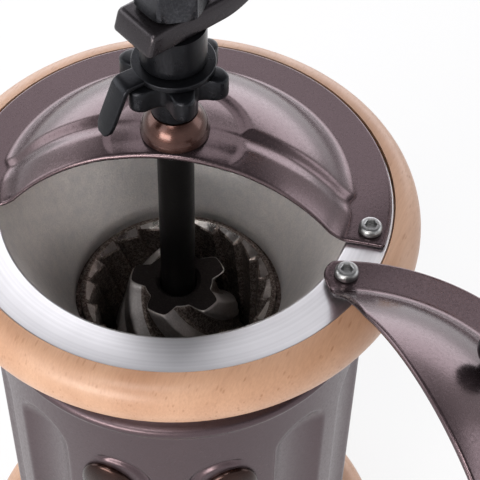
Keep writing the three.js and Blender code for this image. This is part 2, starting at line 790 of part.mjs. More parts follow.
// Plan of the closed door: the front of the disc, drawn in to an ear round its pivot
function doorPlan() {
  const line = edgeReach + doorGap;
  const [px, py] = polar(screwCircle, doorPivotDeg);
  const along = (coverRadius ** 2 - doorEarRadius ** 2 + screwCircle ** 2) / (2 * screwCircle);
  const meetDeg = doorPivotDeg + THREE.MathUtils.radToDeg(Math.acos(along / coverRadius));
  const [mx, my] = polar(coverRadius, meetDeg);
  const earDeg = THREE.MathUtils.radToDeg(Math.atan2(my - py, mx - px));
  const leftDeg = -180 + THREE.MathUtils.radToDeg(Math.asin(line / coverRadius));
  const rise = -line - py;
  const apart = Math.hypot(doorShoulder, rise);
  const touchDeg = THREE.MathUtils.radToDeg(
    Math.atan2(rise, -doorShoulder) - Math.acos(doorEarRadius / apart));
  return [
    ...arc(0, 0, coverRadius, leftDeg, meetDeg, hubSides),
    ...arc(px, py, doorEarRadius, earDeg, touchDeg, earSteps).slice(1),
    [px - doorShoulder, -line],
  ];
}

function hopperDoor() {
  const line = edgeReach + doorGap;
  const flange = rod(coverRadius, coverLow, coverTop, roundSides);
  const inner = domeBlank(sheetThick, coverLow - overrun);
  const sheet = without(joined(flange, domeBlank(0, coverLow)), inner);
  const plan = prism(doorPlan(), coverLow - overrun, domeTop + overrun);
  const trimmed = sheet.intersect(plan);
  const [px, py] = polar(screwCircle, doorPivotDeg);
  const pivotHole = moved(rod(screwHole, coverLow - overrun, coverTop + overrun), px, py);
  const knobHole = moved(rod(screwHole, coverLow, domeTop + overrun), 0, -doorKnobReach);
  const edge = rolledEdge(line + rolledWire, 0).intersect(plan);
  return moved(without(joined(trimmed, edge), pivotHole, knobHole), 0, 0, doorLift);
}

// Small turned knob on the door, with a riveted stem through the sheet
function doorKnob() {
  const low = domeLevel(doorKnobReach - doorKnobNeck, 0) + seat + doorLift;
  const ball = arc(0, low + doorKnobHeight - doorKnobRadius, doorKnobRadius, -doorKnobFlareDeg, 90);
  ball[ball.length - 1][0] = 0;
  const stemLow = domeLevel(doorKnobReach, sheetThick) + doorLift - seat - doorKnobNeck;
  const body = turned([
    [0, stemLow], [screwShank, stemLow], [screwShank, low], [doorKnobNeck, low], ...ball,
  ], boreSides);
  return moved(body, 0, -doorKnobReach);
}

function doorSpacer() {
  const [x, y] = pivotPlace;
  return moved(tube(screwHole, doorSpacerRadius, coverLow, coverLow + doorLift - seat), x, y);
}

function flangeScrew([x, y], lift) {
  const headFace = coverTop + lift + seat;
  const length = headFace - (rim - flangeThick - seat - screwGrip);
  return moved(buttonScrew(screwHead, screwHeadHeight, screwShank, length), x, y, headFace);
}

// Hub bush with its push-on ring

function hubBush() {
  const dome = arc(0, hubLow, hubRadius, 0, THREE.MathUtils.radToDeg(Math.acos(hubLandRadius / hubRadius)));
  return turned([
    [boreRadius, spigotLow], [hubHole - play, spigotLow], [hubHole - play, hubLow],
    ...dome, [boreRadius, hubTop],
  ], middleSides);
}

function bushRing() {
  return tube(hubHole, bushRingRadius, bushRingTop - bushRingThick, bushRingTop, boreSides);
}

// Shaft and what turns with it

function shaft() {
  return rod(shaftRadius, shaftLow, shaftTop, middleSides);
}

function coneBurr() {
  const count = coneFineTeeth * coneFinePoints;
  const footTip = burrFootBore - burrToothFootDepth - grindGap;
  const perFlute = count / coneFlutes;
  const rings = Array.from({ length: coneRows + 1 }, (_, i) => {
    const share = i / coneRows;
    const tip = THREE.MathUtils.lerp(footTip, coneTopRadius, share ** coneSwellPower);
    const bite = coneFluteDepth * clamp((share - coneFluteStartShare) / coneFluteGrowShare, 0, 1);
    const fine = coneFineDepth * clamp((coneFineEndShare - share) / coneFineFadeShare, 0, 1);
    const level = coneLow + coneHeight * share;
    const radiusAt = (k) => {
      const way = (k % perFlute) / perFlute;
      const dip = Math.sin(Math.PI * way ** coneHookPower) ** 2;
      return tip - bite * dip - fine * (k % coneFinePoints === 1);
    };
    return ringAt(level, count, radiusAt, coneLobeDeg + coneTwistDeg * (1 - share));
  });
  const bore = [coneTop, coneLow].map((level) => ringAt(level, count, () => boreRadius, coneLobeDeg));
  return ringed([...rings, ...bore]);
}

function shaftWasher(top) {
  return tube(boreRadius, shaftRadius + clipReach + washerThick, top - washerThick, top, boreSides);
}

// Open spring clip: a flat ring with a mouth at the back
function shaftClip(top) {
  const hoop = tube(boreRadius, shaftRadius + clipReach, top - clipThick, top, boreSides);
  const half = shaftRadius * clipMouthShare;
  const mouth = box(-half, half, 0, shaftRadius * 2, top - clipThick * 2, top + clipThick);
  return without(hoop, mouth);
}

function springPoints() {
  const mean = shaftRadius + springLoose + springWire / 2;
  const steps = springCurls * springSteps;
  const points = Array.from({ length: steps + 1 }, (_, i) => {
    const [x, y] = polar(mean, (360 * i) / springSteps);
    return new THREE.Vector3(x, y, springLow + springWire + (springPitch * i) / springSteps);
  });
  const first = points[0].clone().setZ(springLow);
  const last = points.at(-1).clone().setZ(springTop);
  return [first, ...points, last];
}

function shaftSpring() {
  const points = springPoints();
  const wire = wireRound(springWire / 2, springSides);
  const body = new THREE.ExtrudeGeometry(wire, {
    steps: points.length - 1, extrudePath: new SpringPath(points), bevelEnabled: false,
  });
  return toSolid(body);
}

// Visits each point of the spring in equal steps
class SpringPath extends THREE.Curve {
  constructor(points) {
    super();
    this.points = points;
  }

  getPoint(t, target = new THREE.Vector3()) {
    const last = this.points.length - 1;
    const at = Math.min(last - 1, Math.floor(t * last + Number.EPSILON * last));
    return target.lerpVectors(this.points[at], this.points[at + 1], t * last - at);
  }

  getPointAt(t, target) {
    return this.getPoint(t, target);
  }

  getUtoTmapping(u) {
    return u;
  }
}

function leastSpringGap() {
  const points = springPoints().slice(1, -1);
  let least = Infinity;
  points.forEach((point, i) => points.slice(i + springSteps / 2).forEach((other) => {
    least = Math.min(least, point.distanceTo(other) - springWire);
  }));
  return least;
}

function adjustingNut() {
  const mean = starRadius - starNotch / 2;
  const count = starLobes * starSteps;
  const points = Array.from({ length: count }, (_, k) => {
    const degrees = (360 * k) / count;
    return polar(mean + (starNotch / 2) * Math.cos(rad(degrees * starLobes)), degrees);
  });
  const star = spun(prism(points, starLow, starTop), starLobeDeg);
  const blank = turned([
    [0, starLow], [starRadius - starChamfer, starLow], [starRadius, starLow + starChamfer],
    [starRadius, starTop - starChamfer], [starRadius - starChamfer, starTop], [0, starTop],
  ]);
  const collar = rod(hubLandRadius, collarLow, starLow + starThick / 2, hubSides);
  const bore = rod(boreRadius, collarLow - overrun, starTop + overrun, hubSides);
  return without(joined(star.intersect(blank), collar), bore);
}

function stopperPlate() {
  const disc = rod(plateRadius, plateLow, plateLow + plateThick, middleSides);
  const start = starRadius + seat * 2;
  const end = start + tabReach;
  const low = starTop - tabDrop;
  const side = [
    [plateRadius / 2, plateLow], [start, plateLow], [end, low], [end + tabThick, low],
    [start + tabThick, plateLow + plateThick / 2], [start, plateLow + plateThick],
    [plateRadius / 2, plateLow + plateThick],
  ];
  const tab = moved(prism(side, 0, tabWidth).rotate([90, 0, 0]), 0, tabWidth / 2);
  const bore = rod(boreRadius, plateLow - overrun, plateLow + plateThick + overrun, hubSides);
  return spun(without(joined(disc, tab), bore), tabDeg);
}

// Side view of the crank's bent bar: a slanted end, level, up a slope, level again
function crankSide() {
  const slope = rad(crankSlopeDeg);
  const half = crankThick / 2;
  const mid = crankBarLow + half;
  const run = crankRise / Math.tan(slope);
  const lowCentre = [crankFlat, mid + crankLowBend];
  const end = crankFlat + run + (crankLowBend + crankHighBend) * Math.tan(slope / 2);
  const highCentre = [end, mid + crankRise - crankHighBend];
  return [
    [-crankTail, mid - half],
    ...arc(...lowCentre, crankLowBend + half, -90, -90 + crankSlopeDeg),
    ...arc(...highCentre, crankHighBend - half, 90 + crankSlopeDeg, 90),
    [crankLength + crankWidth, mid + crankRise - half],
    [crankLength + crankWidth, mid + crankRise + half],
    ...arc(...highCentre, crankHighBend + half, 90, 90 + crankSlopeDeg),
    ...arc(...lowCentre, crankLowBend - half, -90 + crankSlopeDeg, -90),
    [-crankTail + crankTailLean, mid + half],
  ];
}

// Plan of the bar: a square end with small corners, straight sides and a round tip
function crankPlan() {
  const half = crankWidth / 2;
  const back = crankCorner - crankTail;
  return [
    ...arc(back, half - crankCorner, crankCorner, 90, 180, cornerSteps),
    ...arc(back, crankCorner - half, crankCorner, 180, 270, cornerSteps),
    ...arc(crankLength, 0, half, -90, 90, earSteps),
  ];
}

// The bar stands on a round boss over the stopper plate
function crankArm() {
  const bar = moved(prism(crankSide(), 0, crankWidth).rotate([90, 0, 0]), 0, crankWidth / 2);
  const shaped = bar.intersect(prism(crankPlan(), crankLow, armTop + overrun));
  const boss = rod(crankBossRadius, crankLow, crankBarLow + crankThick / 2, middleSides);
  const shaftHole = rod(boreRadius, crankLow - overrun, crankTop + overrun, hubSides);
  const pinHole = moved(
    rod(pinRadius + play, armTop - crankThick - overrun, armTop + overrun), crankLength, 0);
  return spun(without(joined(shaped, boss), shaftHole, pinHole), crankDeg);
}

function capNut() {
  const corners = arc(0, 0, capRadius, capCornerDeg, capCornerDeg + 360, hexSides).slice(1);
  const hex = prism(corners, capLow, capTop);
  const dome = arc(0, 0, 1, 0, 90).map(
    ([x, y]) => [capRadius - capCrown * (1 - x), capTop - capCrownDrop * (1 - y)]);
  const crown = turned([[0, capLow], [capRadius, capLow], ...dome, [0, capTop]]);
  return without(hex.intersect(crown), rod(boreRadius, capLow - overrun, shaftTop + seat, middleSides));
}

// Knob and its pin at the crank's end

const pinLow = armTop - crankThick - seat;
const knobLow = armTop + seat;
const knobTop = knobLow + knobHeight;

function knobPin() {
  const headLow = knobTop + seat;
  const body = turned([
    [0, pinLow - pinHeadThick], [pinHeadRadius, pinLow - pinHeadThick], [pinHeadRadius, pinLow],
    [pinRadius, pinLow], [pinRadius, headLow], [pinHeadRadius, headLow],
    [pinHeadRadius - pinCrown, headLow + pinHeadThick], [0, headLow + pinHeadThick],
  ], boreSides);
  return spun(moved(body, crankLength, 0), crankDeg);
}

function crankKnob() {
  const bore = pinRadius + play;
  const widest = knobLow + knobHeight * knobWidestShare;
  const flat = pinHeadRadius + seat;
  const lower = Array.from({ length: knobSteps + 1 }, (_, i) => {
    const share = i / knobSteps;
    const swell = (1 - Math.cos(Math.PI * share)) / 2;
    return [THREE.MathUtils.lerp(knobNeckRadius, knobRadius, swell), knobLow + (widest - knobLow) * share];
  });
  const upper = arc(0, 0, 1, 0, 90).slice(1, -1)
    .map(([x, y]) => [flat + (knobRadius - flat) * x, widest + (knobTop - widest) * y]);
  const body = turned([[bore, knobLow], ...lower, ...upper, [flat, knobTop], [bore, knobTop]], middleSides);
  return spun(moved(body, crankLength, 0), crankDeg);
}

// Drawer

function drawerGuide() {
  const half = drawerWidth / 2 + seat + guideWall;
  const back = drawerBack + seat;
  const front = -Math.sqrt((fluteBore - frontGap) ** 2 - half ** 2);
  const tray = box(-half, half, front, back + guideWall, guideLow, guideLow + guideWall + guideRise);
  const room = box(-half + guideWall, half - guideWall, front - overrun, back,
    guideLow + guideWall, guideLow + guideWall + guideRise + overrun);
  const holes = guideScrewPlaces.map(([x, y]) => moved(
    rod(screwHole, guideLow - overrun, guideLow + guideWall + overrun), x, y));
  const sinkLow = guideLow + guideWall * guideSinkShare;
  const sinkTop = sinkLow + guideWall;
  const sink = turned(
    [[0, sinkLow], [screwHole, sinkLow], [screwHead + seat, sinkTop], [0, sinkTop]], smallSides);
  const sinks = guideScrewPlaces.map(([x, y]) => moved(sink, x, y));
  return without(tray, room, ...holes, ...sinks);
}

const drawerFrontLine = frontFace - seat;
const drawerBack = drawerLength - drawerFrontLine;

// Plan of the drawer box, its front following the round body, drawn in by the wall
function drawerPlan(inset) {
  const half = drawerWidth / 2 - inset;
  const face = drawerFrontLine - inset;
  const turn = THREE.MathUtils.radToDeg(Math.asin(half / face));
  const back = drawerBack - inset;
  return [...arc(0, 0, face, -90 - turn, -90 + turn, earSteps), [half, back], [-half, back]];
}

function drawerBox() {
  const outside = prism(drawerPlan(0), drawerLow, drawerTop);
  const inside = prism(drawerPlan(drawerWall), drawerLow + drawerWall, drawerTop + overrun);
  return without(outside, inside, knobBolt(screwHole));
}

function drawerFront() {
  const half = drawerWidth / 2;
  const skin = tube(frontFace, shellRadius + frontProud, frontLow, frontTop, roundSides);
  const window = box(-half, half, -shellRadius - frontProud - overrun, -shellRadius / 2, frontLow, frontTop);
  return without(skin.intersect(window), knobBolt(screwHole));
}

const drawerKnobLevel = (drawerLow + drawerTop) / 2;

// Shank line of the drawer knob, through the front and the box
function knobBolt(radius) {
  const hole = rod(radius, 0, shellRadius, smallSides).rotate([90, 0, 0]);
  return moved(hole, 0, -shellRadius / 2, drawerKnobLevel);
}

function drawerKnob() {
  const base = -shellRadius - frontProud - seat;
  const stemEnd = -drawerFrontLine + drawerWall + screwHeadHeight;
  const stem = base - stemEnd;
  const rise = drawerKnobLength - drawerKnobRadius * drawerKnobFlatShare;
  const ball = arc(0, rise, drawerKnobRadius, -drawerKnobFlareDeg, 90).map(
    ([x, y]) => [x, rise + (y - rise) * drawerKnobFlatShare]);
  ball[ball.length - 1][0] = 0;
  const body = turned([
    [0, stem], [screwShank, stem], [screwShank, 0], [drawerKnobNeck + drawerKnobFlare, 0],
    [drawerKnobNeck, drawerKnobFlare * 2], ...ball,
  ], boreSides);
  return moved(body.rotate([90, 0, 0]), 0, base, drawerKnobLevel);
}

function drawerKnobNut() {
  const face = -drawerFrontLine + drawerWall + seat;
  const hole = rod(screwHole, -overrun, screwHeadHeight + overrun);
  const nut = without(rod(screwHead, 0, screwHeadHeight, hexSides), hole);
  return moved(nut.rotate([-90, 0, 0]), 0, face, drawerKnobLevel);
}

function guideScrew([x, y]) {
  const low = guideLow + guideWall * guideSinkShare;
  const top = guideLow + guideWall;
  const body = turned([
    [0, baseTop - screwGrip], [screwShank, baseTop - screwGrip], [screwShank, low + seat],
    [screwHead - seat, top], [0, top],
  ], smallSides);
  return moved(body, x, y);
}

// Finishes

function finish(color, metalness, roughness) {
  return new THREE.MeshStandardMaterial({ color, metalness, roughness });
}

const beech = finish('#deb696', 0, 0.55);
const brownPaint = finish('#6b5c62', 0.75, 0.38);
const satinAluminium = finish('#b3b1ae', 1, 0.4);
const darkSteel = finish('#4a433e', 1, 0.35);
const blackSteel = finish('#1c1b1d', 0.6, 0.4);
const bronze = finish('#4a2c20', 0.9, 0.2);
const zinc = finish('#9a9a98', 1, 0.4);
const rubber = finish('#26262a', 0, 0.9);
const tin = finish('#a8a9ab', 1, 0.45);

// Assembly

const mill = new THREE.Group();

function add(name, body, material, parent = mill) {
  const mesh = new THREE.Mesh(toGeometry(body), material);
  mesh.name = name;
  parent.add(mesh);
}

add('foot_pad', footPad(), rubber);
add('wood_base', woodBase(), beech);
baseScrewPlaces.forEach((place, i) => add(`base_screw_${i + 1}`, baseScrew(place), zinc));
add('body_shell', bodyShell(), brownPaint);
add('oval_boss_left', ovalBoss(0), bronze);
add('oval_boss_right', ovalBoss(1), bronze);
add('wood_ring', woodRing(), beech);
ringScrewPlaces.forEach((place, i) => add(`ring_screw_${i + 1}`, ringScrew(place), zinc));
add('hopper_bowl', hopperBowl(), satinAluminium);
add('burr_housing', burrHousing(), darkSteel);
add('grounds_funnel', groundsFunnel(), tin);
housingScrewPlaces.forEach((place, i) => add(`housing_screw_${i + 1}`, housingScrew(place), zinc));
add('ring_burr', ringBurr(), darkSteel);
add('lower_spider', lowerSpider(), blackSteel);
add('lower_bush', lowerBush(), bronze);
spiderScrewPlaces.forEach((place, i) => add(`spider_screw_${i + 1}`, spiderScrew(place), zinc));
add('drawer_guide', drawerGuide(), tin);
guideScrewPlaces.forEach((place, i) => add(`guide_screw_${i + 1}`, guideScrew(place), zinc));

// The cover sits in a frame turned with its straight edge
const coverFrame = new THREE.Group();
coverFrame.rotation.z = rad(coverTurnDeg);
mill.add(coverFrame);
add('hopper_cover', hopperCover(), brownPaint, coverFrame);
add('cover_screw_right', flangeScrew(coverScrewPlaces[0], 0), blackSteel);
add('cover_screw_left', flangeScrew(coverScrewPlaces[1], 0), blackSteel);
add('hub_bush', hubBush(), bronze);
add('bush_ring', bushRing(), zinc);

// The door hangs on its pivot screw, drawn closed and swung open about it
const doorHinge = new THREE.Group();
doorHinge.position.set(...polar(screwCircle, doorPivotDeg), 0);
doorHinge.rotation.z = rad(doorOpenDeg);
coverFrame.add(doorHinge);
const doorFrame = new THREE.Group();
doorFrame.position.copy(doorHinge.position).negate();
doorHinge.add(doorFrame);
add('hopper_door', hopperDoor(), brownPaint, doorFrame);
add('door_knob', doorKnob(), blackSteel, doorFrame);
add('door_spacer', doorSpacer(), zinc);
add('door_pivot_screw', flangeScrew(pivotPlace, doorLift), blackSteel);

// Everything that turns with the crank
add('shaft', shaft(), blackSteel);
add('cone_burr', coneBurr(), darkSteel);
add('burr_washer', shaftWasher(burrWasherTop), zinc);
add('burr_clip', shaftClip(burrClipTop), blackSteel);
add('spring_washer', shaftWasher(springWasherTop), zinc);
add('shaft_clip', shaftClip(springClipTop), blackSteel);
add('shaft_spring', shaftSpring(), tin);
add('adjusting_nut', adjustingNut(), blackSteel);
add('stopper_plate', stopperPlate(), blackSteel);
add('crank_arm', crankArm(), brownPaint);
add('cap_nut', capNut(), blackSteel);
add('knob_pin', knobPin(), zinc);
add('crank_knob', crankKnob(), beech);

add('drawer_box', drawerBox(), tin);
add('drawer_front', drawerFront(), brownPaint);
add('drawer_knob', drawerKnob(), beech);
add('drawer_knob_nut', drawerKnobNut(), zinc);

console.log(`least gap between curls of the spring ${leastSpringGap().toFixed(2)} mm`);

export default mill;
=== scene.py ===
"""Looks of a hand-cranked coffee mill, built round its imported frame. Lengths are written in millimetres."""

import json
from math import acos, asin, atan2, copysign, cos, hypot, pi, radians as rad, sin, sqrt, tan

import bmesh
import bpy
from mathutils import Matrix, Vector


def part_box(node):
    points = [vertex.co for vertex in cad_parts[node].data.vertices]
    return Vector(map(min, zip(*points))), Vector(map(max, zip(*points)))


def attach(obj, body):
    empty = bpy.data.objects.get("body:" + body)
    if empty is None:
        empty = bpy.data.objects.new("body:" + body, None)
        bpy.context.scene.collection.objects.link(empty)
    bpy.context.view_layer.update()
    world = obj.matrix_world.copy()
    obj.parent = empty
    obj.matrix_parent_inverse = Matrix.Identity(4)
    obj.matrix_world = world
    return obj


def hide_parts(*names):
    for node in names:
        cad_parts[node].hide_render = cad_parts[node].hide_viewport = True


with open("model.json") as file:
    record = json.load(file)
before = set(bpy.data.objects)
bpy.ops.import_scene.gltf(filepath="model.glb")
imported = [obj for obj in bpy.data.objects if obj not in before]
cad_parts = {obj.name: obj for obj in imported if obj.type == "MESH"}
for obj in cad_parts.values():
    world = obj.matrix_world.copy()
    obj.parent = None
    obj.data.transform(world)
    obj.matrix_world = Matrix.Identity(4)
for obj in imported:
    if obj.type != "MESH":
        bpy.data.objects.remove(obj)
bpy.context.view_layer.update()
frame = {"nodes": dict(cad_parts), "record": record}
nodes = frame["nodes"]

MM = 0.001
TURN = 2 * pi
QUARTER = pi / 2
studio = bpy.context.scene


# Levels and radii read from the frame

def low(node):
    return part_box(node)[0].z / MM


def high(node):
    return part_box(node)[1].z / MM


def low_high(node):
    return low(node), high(node)


def half_width(node):
    first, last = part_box(node)
    return (last.x - first.x) / 2 / MM


def middle(node):
    first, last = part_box(node)
    return (first + last) / 2 / MM


# Sizes that several pieces share and that the frame's boxes don't give

clear = 0.3
rim = high("hopper_bowl")
shaft_radius = half_width("shaft")
bore = shaft_radius + clear
hub_wall = 1.5
mouth_radius = 38.9
hopper_wall = 1.6
flange_thick = 1.2
sheet_thick = 1
square = ((-1, -1), (1, -1), (1, 1), (-1, 1))
tiny = 1e-6


# Meshes

def link(name, data, *materials):
    made = bpy.data.objects.new(name, data)
    studio.collection.objects.link(made)
    for material in materials:
        data.materials.append(material)
    return made


def solid(name, points, faces, *materials, sharp=35, face_materials=None):
    """Mesh object from points in millimetres, its faces turned outwards and smooth up to an angle."""
    mesh = bpy.data.meshes.new(name)
    mesh.from_pydata([(x * MM, y * MM, z * MM) for x, y, z in points], [], faces)
    if face_materials:
        mesh.polygons.foreach_set("material_index", face_materials)
    same_point = 1e-7
    edit = bmesh.new()
    edit.from_mesh(mesh)
    bmesh.ops.remove_doubles(edit, verts=edit.verts, dist=same_point)
    bmesh.ops.dissolve_degenerate(edit, edges=edit.edges, dist=same_point)
    bmesh.ops.recalc_face_normals(edit, faces=edit.faces)
    edit.to_mesh(mesh)
    edit.free()
    mesh.polygons.foreach_set("use_smooth", [True] * len(mesh.polygons))
    mesh.set_sharp_from_angle(angle=rad(sharp))
    return link(name, mesh, *materials)


def loft(rows, closed=False):
    """Points and faces of rows of equal count, each joined to the next, with caps unless it is closed."""
    count = len(rows[0])
    points = [p for row in rows for p in row]
    faces = []
    for j in range(len(rows) if closed else len(rows) - 1):
        here = j * count
        there = (j + 1) % len(rows) * count
        for i in range(count):
            after = (i + 1) % count
            faces.append((here + i, here + after, there + after, there + i))
    if not closed:
        last = len(points) - count
        faces += [tuple(range(count)), tuple(range(last, last + count))]
    return points, faces


def mix(a, b, share):
    return a + (b - a) * share


def polar(radius, angle):
    return radius * cos(angle), radius * sin(angle)


def circle(radius, level, sides, x=0, y=0, turn=0):
    angles = [TURN * i / sides + turn for i in range(sides)]
    return [(x + radius * cos(a), y + radius * sin(a), level) for a in angles]


def circles(profile, sides, x=0, y=0, turn=0):
    return [circle(radius, level, sides, x, y, turn) for radius, level in profile]


def polar_row(count, radius_at, level_at, turn=0):
    """Row round the axis whose radius and level follow the step."""
    return [(*polar(radius_at(i), TURN * i / count + turn), level_at(i)) for i in range(count)]


def arc(steps, start, end, reach, rise, x=0, y=0):
    """Points (x, y) of an ellipse from one angle to another."""
    angles = [mix(start, end, k / steps) for k in range(steps + 1)]
    return [(x + reach * cos(a), y + rise * sin(a)) for a in angles]


def rounded(corners, closed=True, steps=5):
    """Corners (x, y) or (x, y, radius) of a profile, each with a radius turned into an arc."""
    nearly_straight, most_of_a_side = 0.01, 0.49
    out = []
    for i, corner in enumerate(corners):
        here = Vector(corner[:2])
        radius = corner[2] if len(corner) > 2 else 0
        back = Vector(corners[i - 1][:2]) - here
        on = Vector(corners[(i + 1) % len(corners)][:2]) - here
        at_end = not closed and i in (0, len(corners) - 1)
        half = back.angle(on) / 2 if radius and not at_end else QUARTER
        if half > QUARTER - nearly_straight:
            out.append((here.x, here.y))
            continue
        reach = min(radius / tan(half), back.length * most_of_a_side, on.length * most_of_a_side)
        radius = reach * tan(half)
        inwards = (back.normalized() + on.normalized()).normalized()
        centre = here + inwards * (radius / sin(half))
        start = here + back.normalized() * reach - centre
        end = here + on.normalized() * reach - centre
        turn = atan2(start.x * end.y - start.y * end.x, start.dot(end))
        for k in range(steps + 1):
            angle = turn * k / steps
            out.append((centre.x + start.x * cos(angle) - start.y * sin(angle),
                        centre.y + start.x * sin(angle) + start.y * cos(angle)))
    return out


def turned(name, profile, material, sides=160, x=0, y=0):
    """Profile of (radius, level, fillet) turned round an upright axis, bored if it starts beside it."""
    bored = profile[0][0] > 0
    return solid(name, *loft(circles(rounded(profile, bored), sides, x, y), bored), material)


def tilted(obj, matrix):
    obj.data.transform(matrix)
    return obj


def soft_edges(obj):
    bevel = obj.modifiers.new("soft edges", "BEVEL")
    bevel.width = 0.4 * MM
    bevel.segments = 2
    bevel.limit_method = "ANGLE"
    bevel.angle_limit = rad(40)
    bevel.harden_normals = True
    return obj


def piece(obj, body, slot, *replaced):
    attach(obj, body)
    if replaced:
        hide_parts(*replaced)
    return obj


def smooth_step(edge0, edge1, value):
    t = min(1, max(0, (value - edge0) / (edge1 - edge0)))
    return t * t * (3 - 2 * t)


def smooth_max(a, b, width):
    blend = max(width - abs(a - b), 0) / width
    return max(a, b) + blend * blend * width / 4


def smooth_min(a, b, width):
    return -smooth_max(-a, -b, width)


# Materials

def shader(name, base, metallic=0.0, roughness=0.5, **more):
    material = bpy.data.materials.new(name)
    material.use_nodes = True
    tree = material.node_tree
    bsdf = tree.nodes["Principled BSDF"]
    bsdf.inputs["Base Color"].default_value = (*base, 1)
    bsdf.inputs["Metallic"].default_value = metallic
    bsdf.inputs["Roughness"].default_value = roughness
    for key, value in more.items():
        bsdf.inputs[key.replace("_", " ")].default_value = value
    return material, tree


def fill(tree, socket, value):
    if isinstance(value, bpy.types.NodeSocket):
        tree.links.new(value, socket)
    else:
        socket.default_value = value


def node(tree, kind, inputs=None, **settings):
    made = tree.nodes.new("ShaderNode" + kind)
    for key, value in settings.items():
        setattr(made, key, value)
    for key, value in (inputs or {}).items():
        fill(tree, made.inputs[key], value)
    return made


def surface(tree, color, normal, roughness=None):
    bsdf = tree.nodes["Principled BSDF"]
    tree.links.new(color, bsdf.inputs["Base Color"])
    tree.links.new(normal, bsdf.inputs["Normal"])
    if roughness is not None:
        tree.links.new(roughness, bsdf.inputs["Roughness"])


def place(tree, scale=(1, 1, 1), rotation=(0, 0, 0)):
    coordinate = node(tree, "TexCoord").outputs["Object"]
    turned_first = node(tree, "Mapping", {"Vector": coordinate, "Rotation": rotation}).outputs[0]
    return node(tree, "Mapping", {"Vector": turned_first, "Scale": scale}).outputs[0]


def noise(tree, vector, scale, detail, roughness):
    inputs = {"Vector": vector, "Scale": scale, "Detail": detail, "Roughness": roughness}
    return node(tree, "TexNoise", inputs).outputs["Fac"]


def remap(tree, *value_and_limits):
    """Value carried over from one range, low and high, to another."""
    return node(tree, "MapRange", dict(enumerate(value_and_limits))).outputs[0]


def blend_colors(tree, share, first, second):
    ends = [c if isinstance(c, bpy.types.NodeSocket) else (*c, 1) for c in (first, second)]
    return node(tree, "Mix", {0: share, 6: ends[0], 7: ends[1]}, data_type="RGBA").outputs[2]


def tint(tree, pattern, start, end, least, most, color, other):
    """Colour that gives way to another as a pattern rises."""
    return blend_colors(tree, remap(tree, pattern, start, end, least, most), color, other)


def bump(tree, height, strength, distance, normal=None):
    inputs = {"Height": height, "Strength": strength, "Distance": distance * MM}
    if normal is not None:
        inputs["Normal"] = normal
    return node(tree, "Bump", inputs).outputs["Normal"]


def math_node(tree, operation, *values):
    return node(tree, "Math", dict(enumerate(values)), operation=operation).outputs[0]


def dimmed(color, share):
    return tuple(c * share for c in color)


def beech_wood(name, grain_deg):
    """Pale steamed beech: fine fibres, soft bands and short dark flecks along the grain."""
    pale, warm = (0.52, 0.3, 0.185), (0.38, 0.188, 0.1)
    cream, dark = (0.6, 0.39, 0.265), (0.33, 0.155, 0.075)
    fibre_scale, band_scale, fleck_scale, cloud_scale = (140, 2600, 1500), (9, 95, 60), (330, 1700, 1100), 28
    material, tree = shader(name, pale, 0, 0.42, Coat_Weight=0.25, Coat_Roughness=0.28)
    turn = (0, 0, -rad(grain_deg))
    fibres = noise(tree, place(tree, fibre_scale, turn), 1, 4, 0.65)
    bands = noise(tree, place(tree, band_scale, turn), 1, 2, 0.5)
    cloud = noise(tree, place(tree, rotation=turn), cloud_scale, 2, 0.5)
    color = tint(tree, bands, 0.35, 0.7, 0, 0.65, pale, warm)
    color = tint(tree, fibres, 0.35, 0.75, 0, 0.35, color, dimmed(warm, 0.72))
    color = tint(tree, cloud, 0.4, 0.7, 0, 0.3, color, cream)
    cells = node(tree, "TexVoronoi", {"Vector": place(tree, fleck_scale, turn), "Scale": 1})
    chance = node(tree, "SeparateColor", {"Color": cells.outputs["Color"]}).outputs[0]
    rare = remap(tree, chance, 0.7, 1, 0, 1)
    fleck = math_node(tree, "MULTIPLY", rare, remap(tree, cells.outputs["Distance"], 0.22, 0.45, 1, 0))
    color = blend_colors(tree, math_node(tree, "MULTIPLY", fleck, 0.75), color, dark)
    grain = bump(tree, fibres, 0.25, 0.08)
    surface(tree, color, bump(tree, fleck, 0.35, -0.06, grain),
            remap(tree, fibres, 0.2, 0.8, 0.36, 0.55))
    return material


def metallic_paint(name, base, light, roughness):
    """Stove enamel with metal flake, fine orange peel and a thin clear coat."""
    flake_scale, peel_scale, cloud_scale, peel = 5200, 1500, 40, 0.14
    material, tree = shader(name, base, 0.85, roughness, Coat_Weight=0.1, Coat_Roughness=0.2)
    at = place(tree)
    flake = noise(tree, at, flake_scale, 2, 0.7)
    speck = noise(tree, at, peel_scale, 3, 0.6)
    cloud = noise(tree, at, cloud_scale, 2, 0.5)
    color = tint(tree, flake, 0.4, 0.75, 0.05, 0.3, base, light)
    color = tint(tree, cloud, 0.35, 0.7, 0, 0.25, color, dimmed(base, 0.8))
    surface(tree, color, bump(tree, flake, peel * 0.35, 0.03, bump(tree, speck, peel, 0.12)),
            remap(tree, speck, 0.3, 0.7, roughness - 0.06, roughness + 0.08))
    return material


def gloss_lacquer(name, base, light, coat):
    """Dark bronze lacquer, glossy, with faint clouds and hairlines."""
    cloud_scale, hair_scale = 220, (300, 300, 4000)
    material, tree = shader(name, base, 0.85, 0.22, Coat_Weight=coat, Coat_Roughness=0.12)
    cloud = noise(tree, place(tree), cloud_scale, 3, 0.6)
    hair = noise(tree, place(tree, hair_scale), 1, 2, 0.5)
    surface(tree, tint(tree, cloud, 0.35, 0.7, 0, 0.8, base, light),
            bump(tree, cloud, 0.08, 0.2), remap(tree, hair, 0.3, 0.7, 0.2, 0.3))
    return material


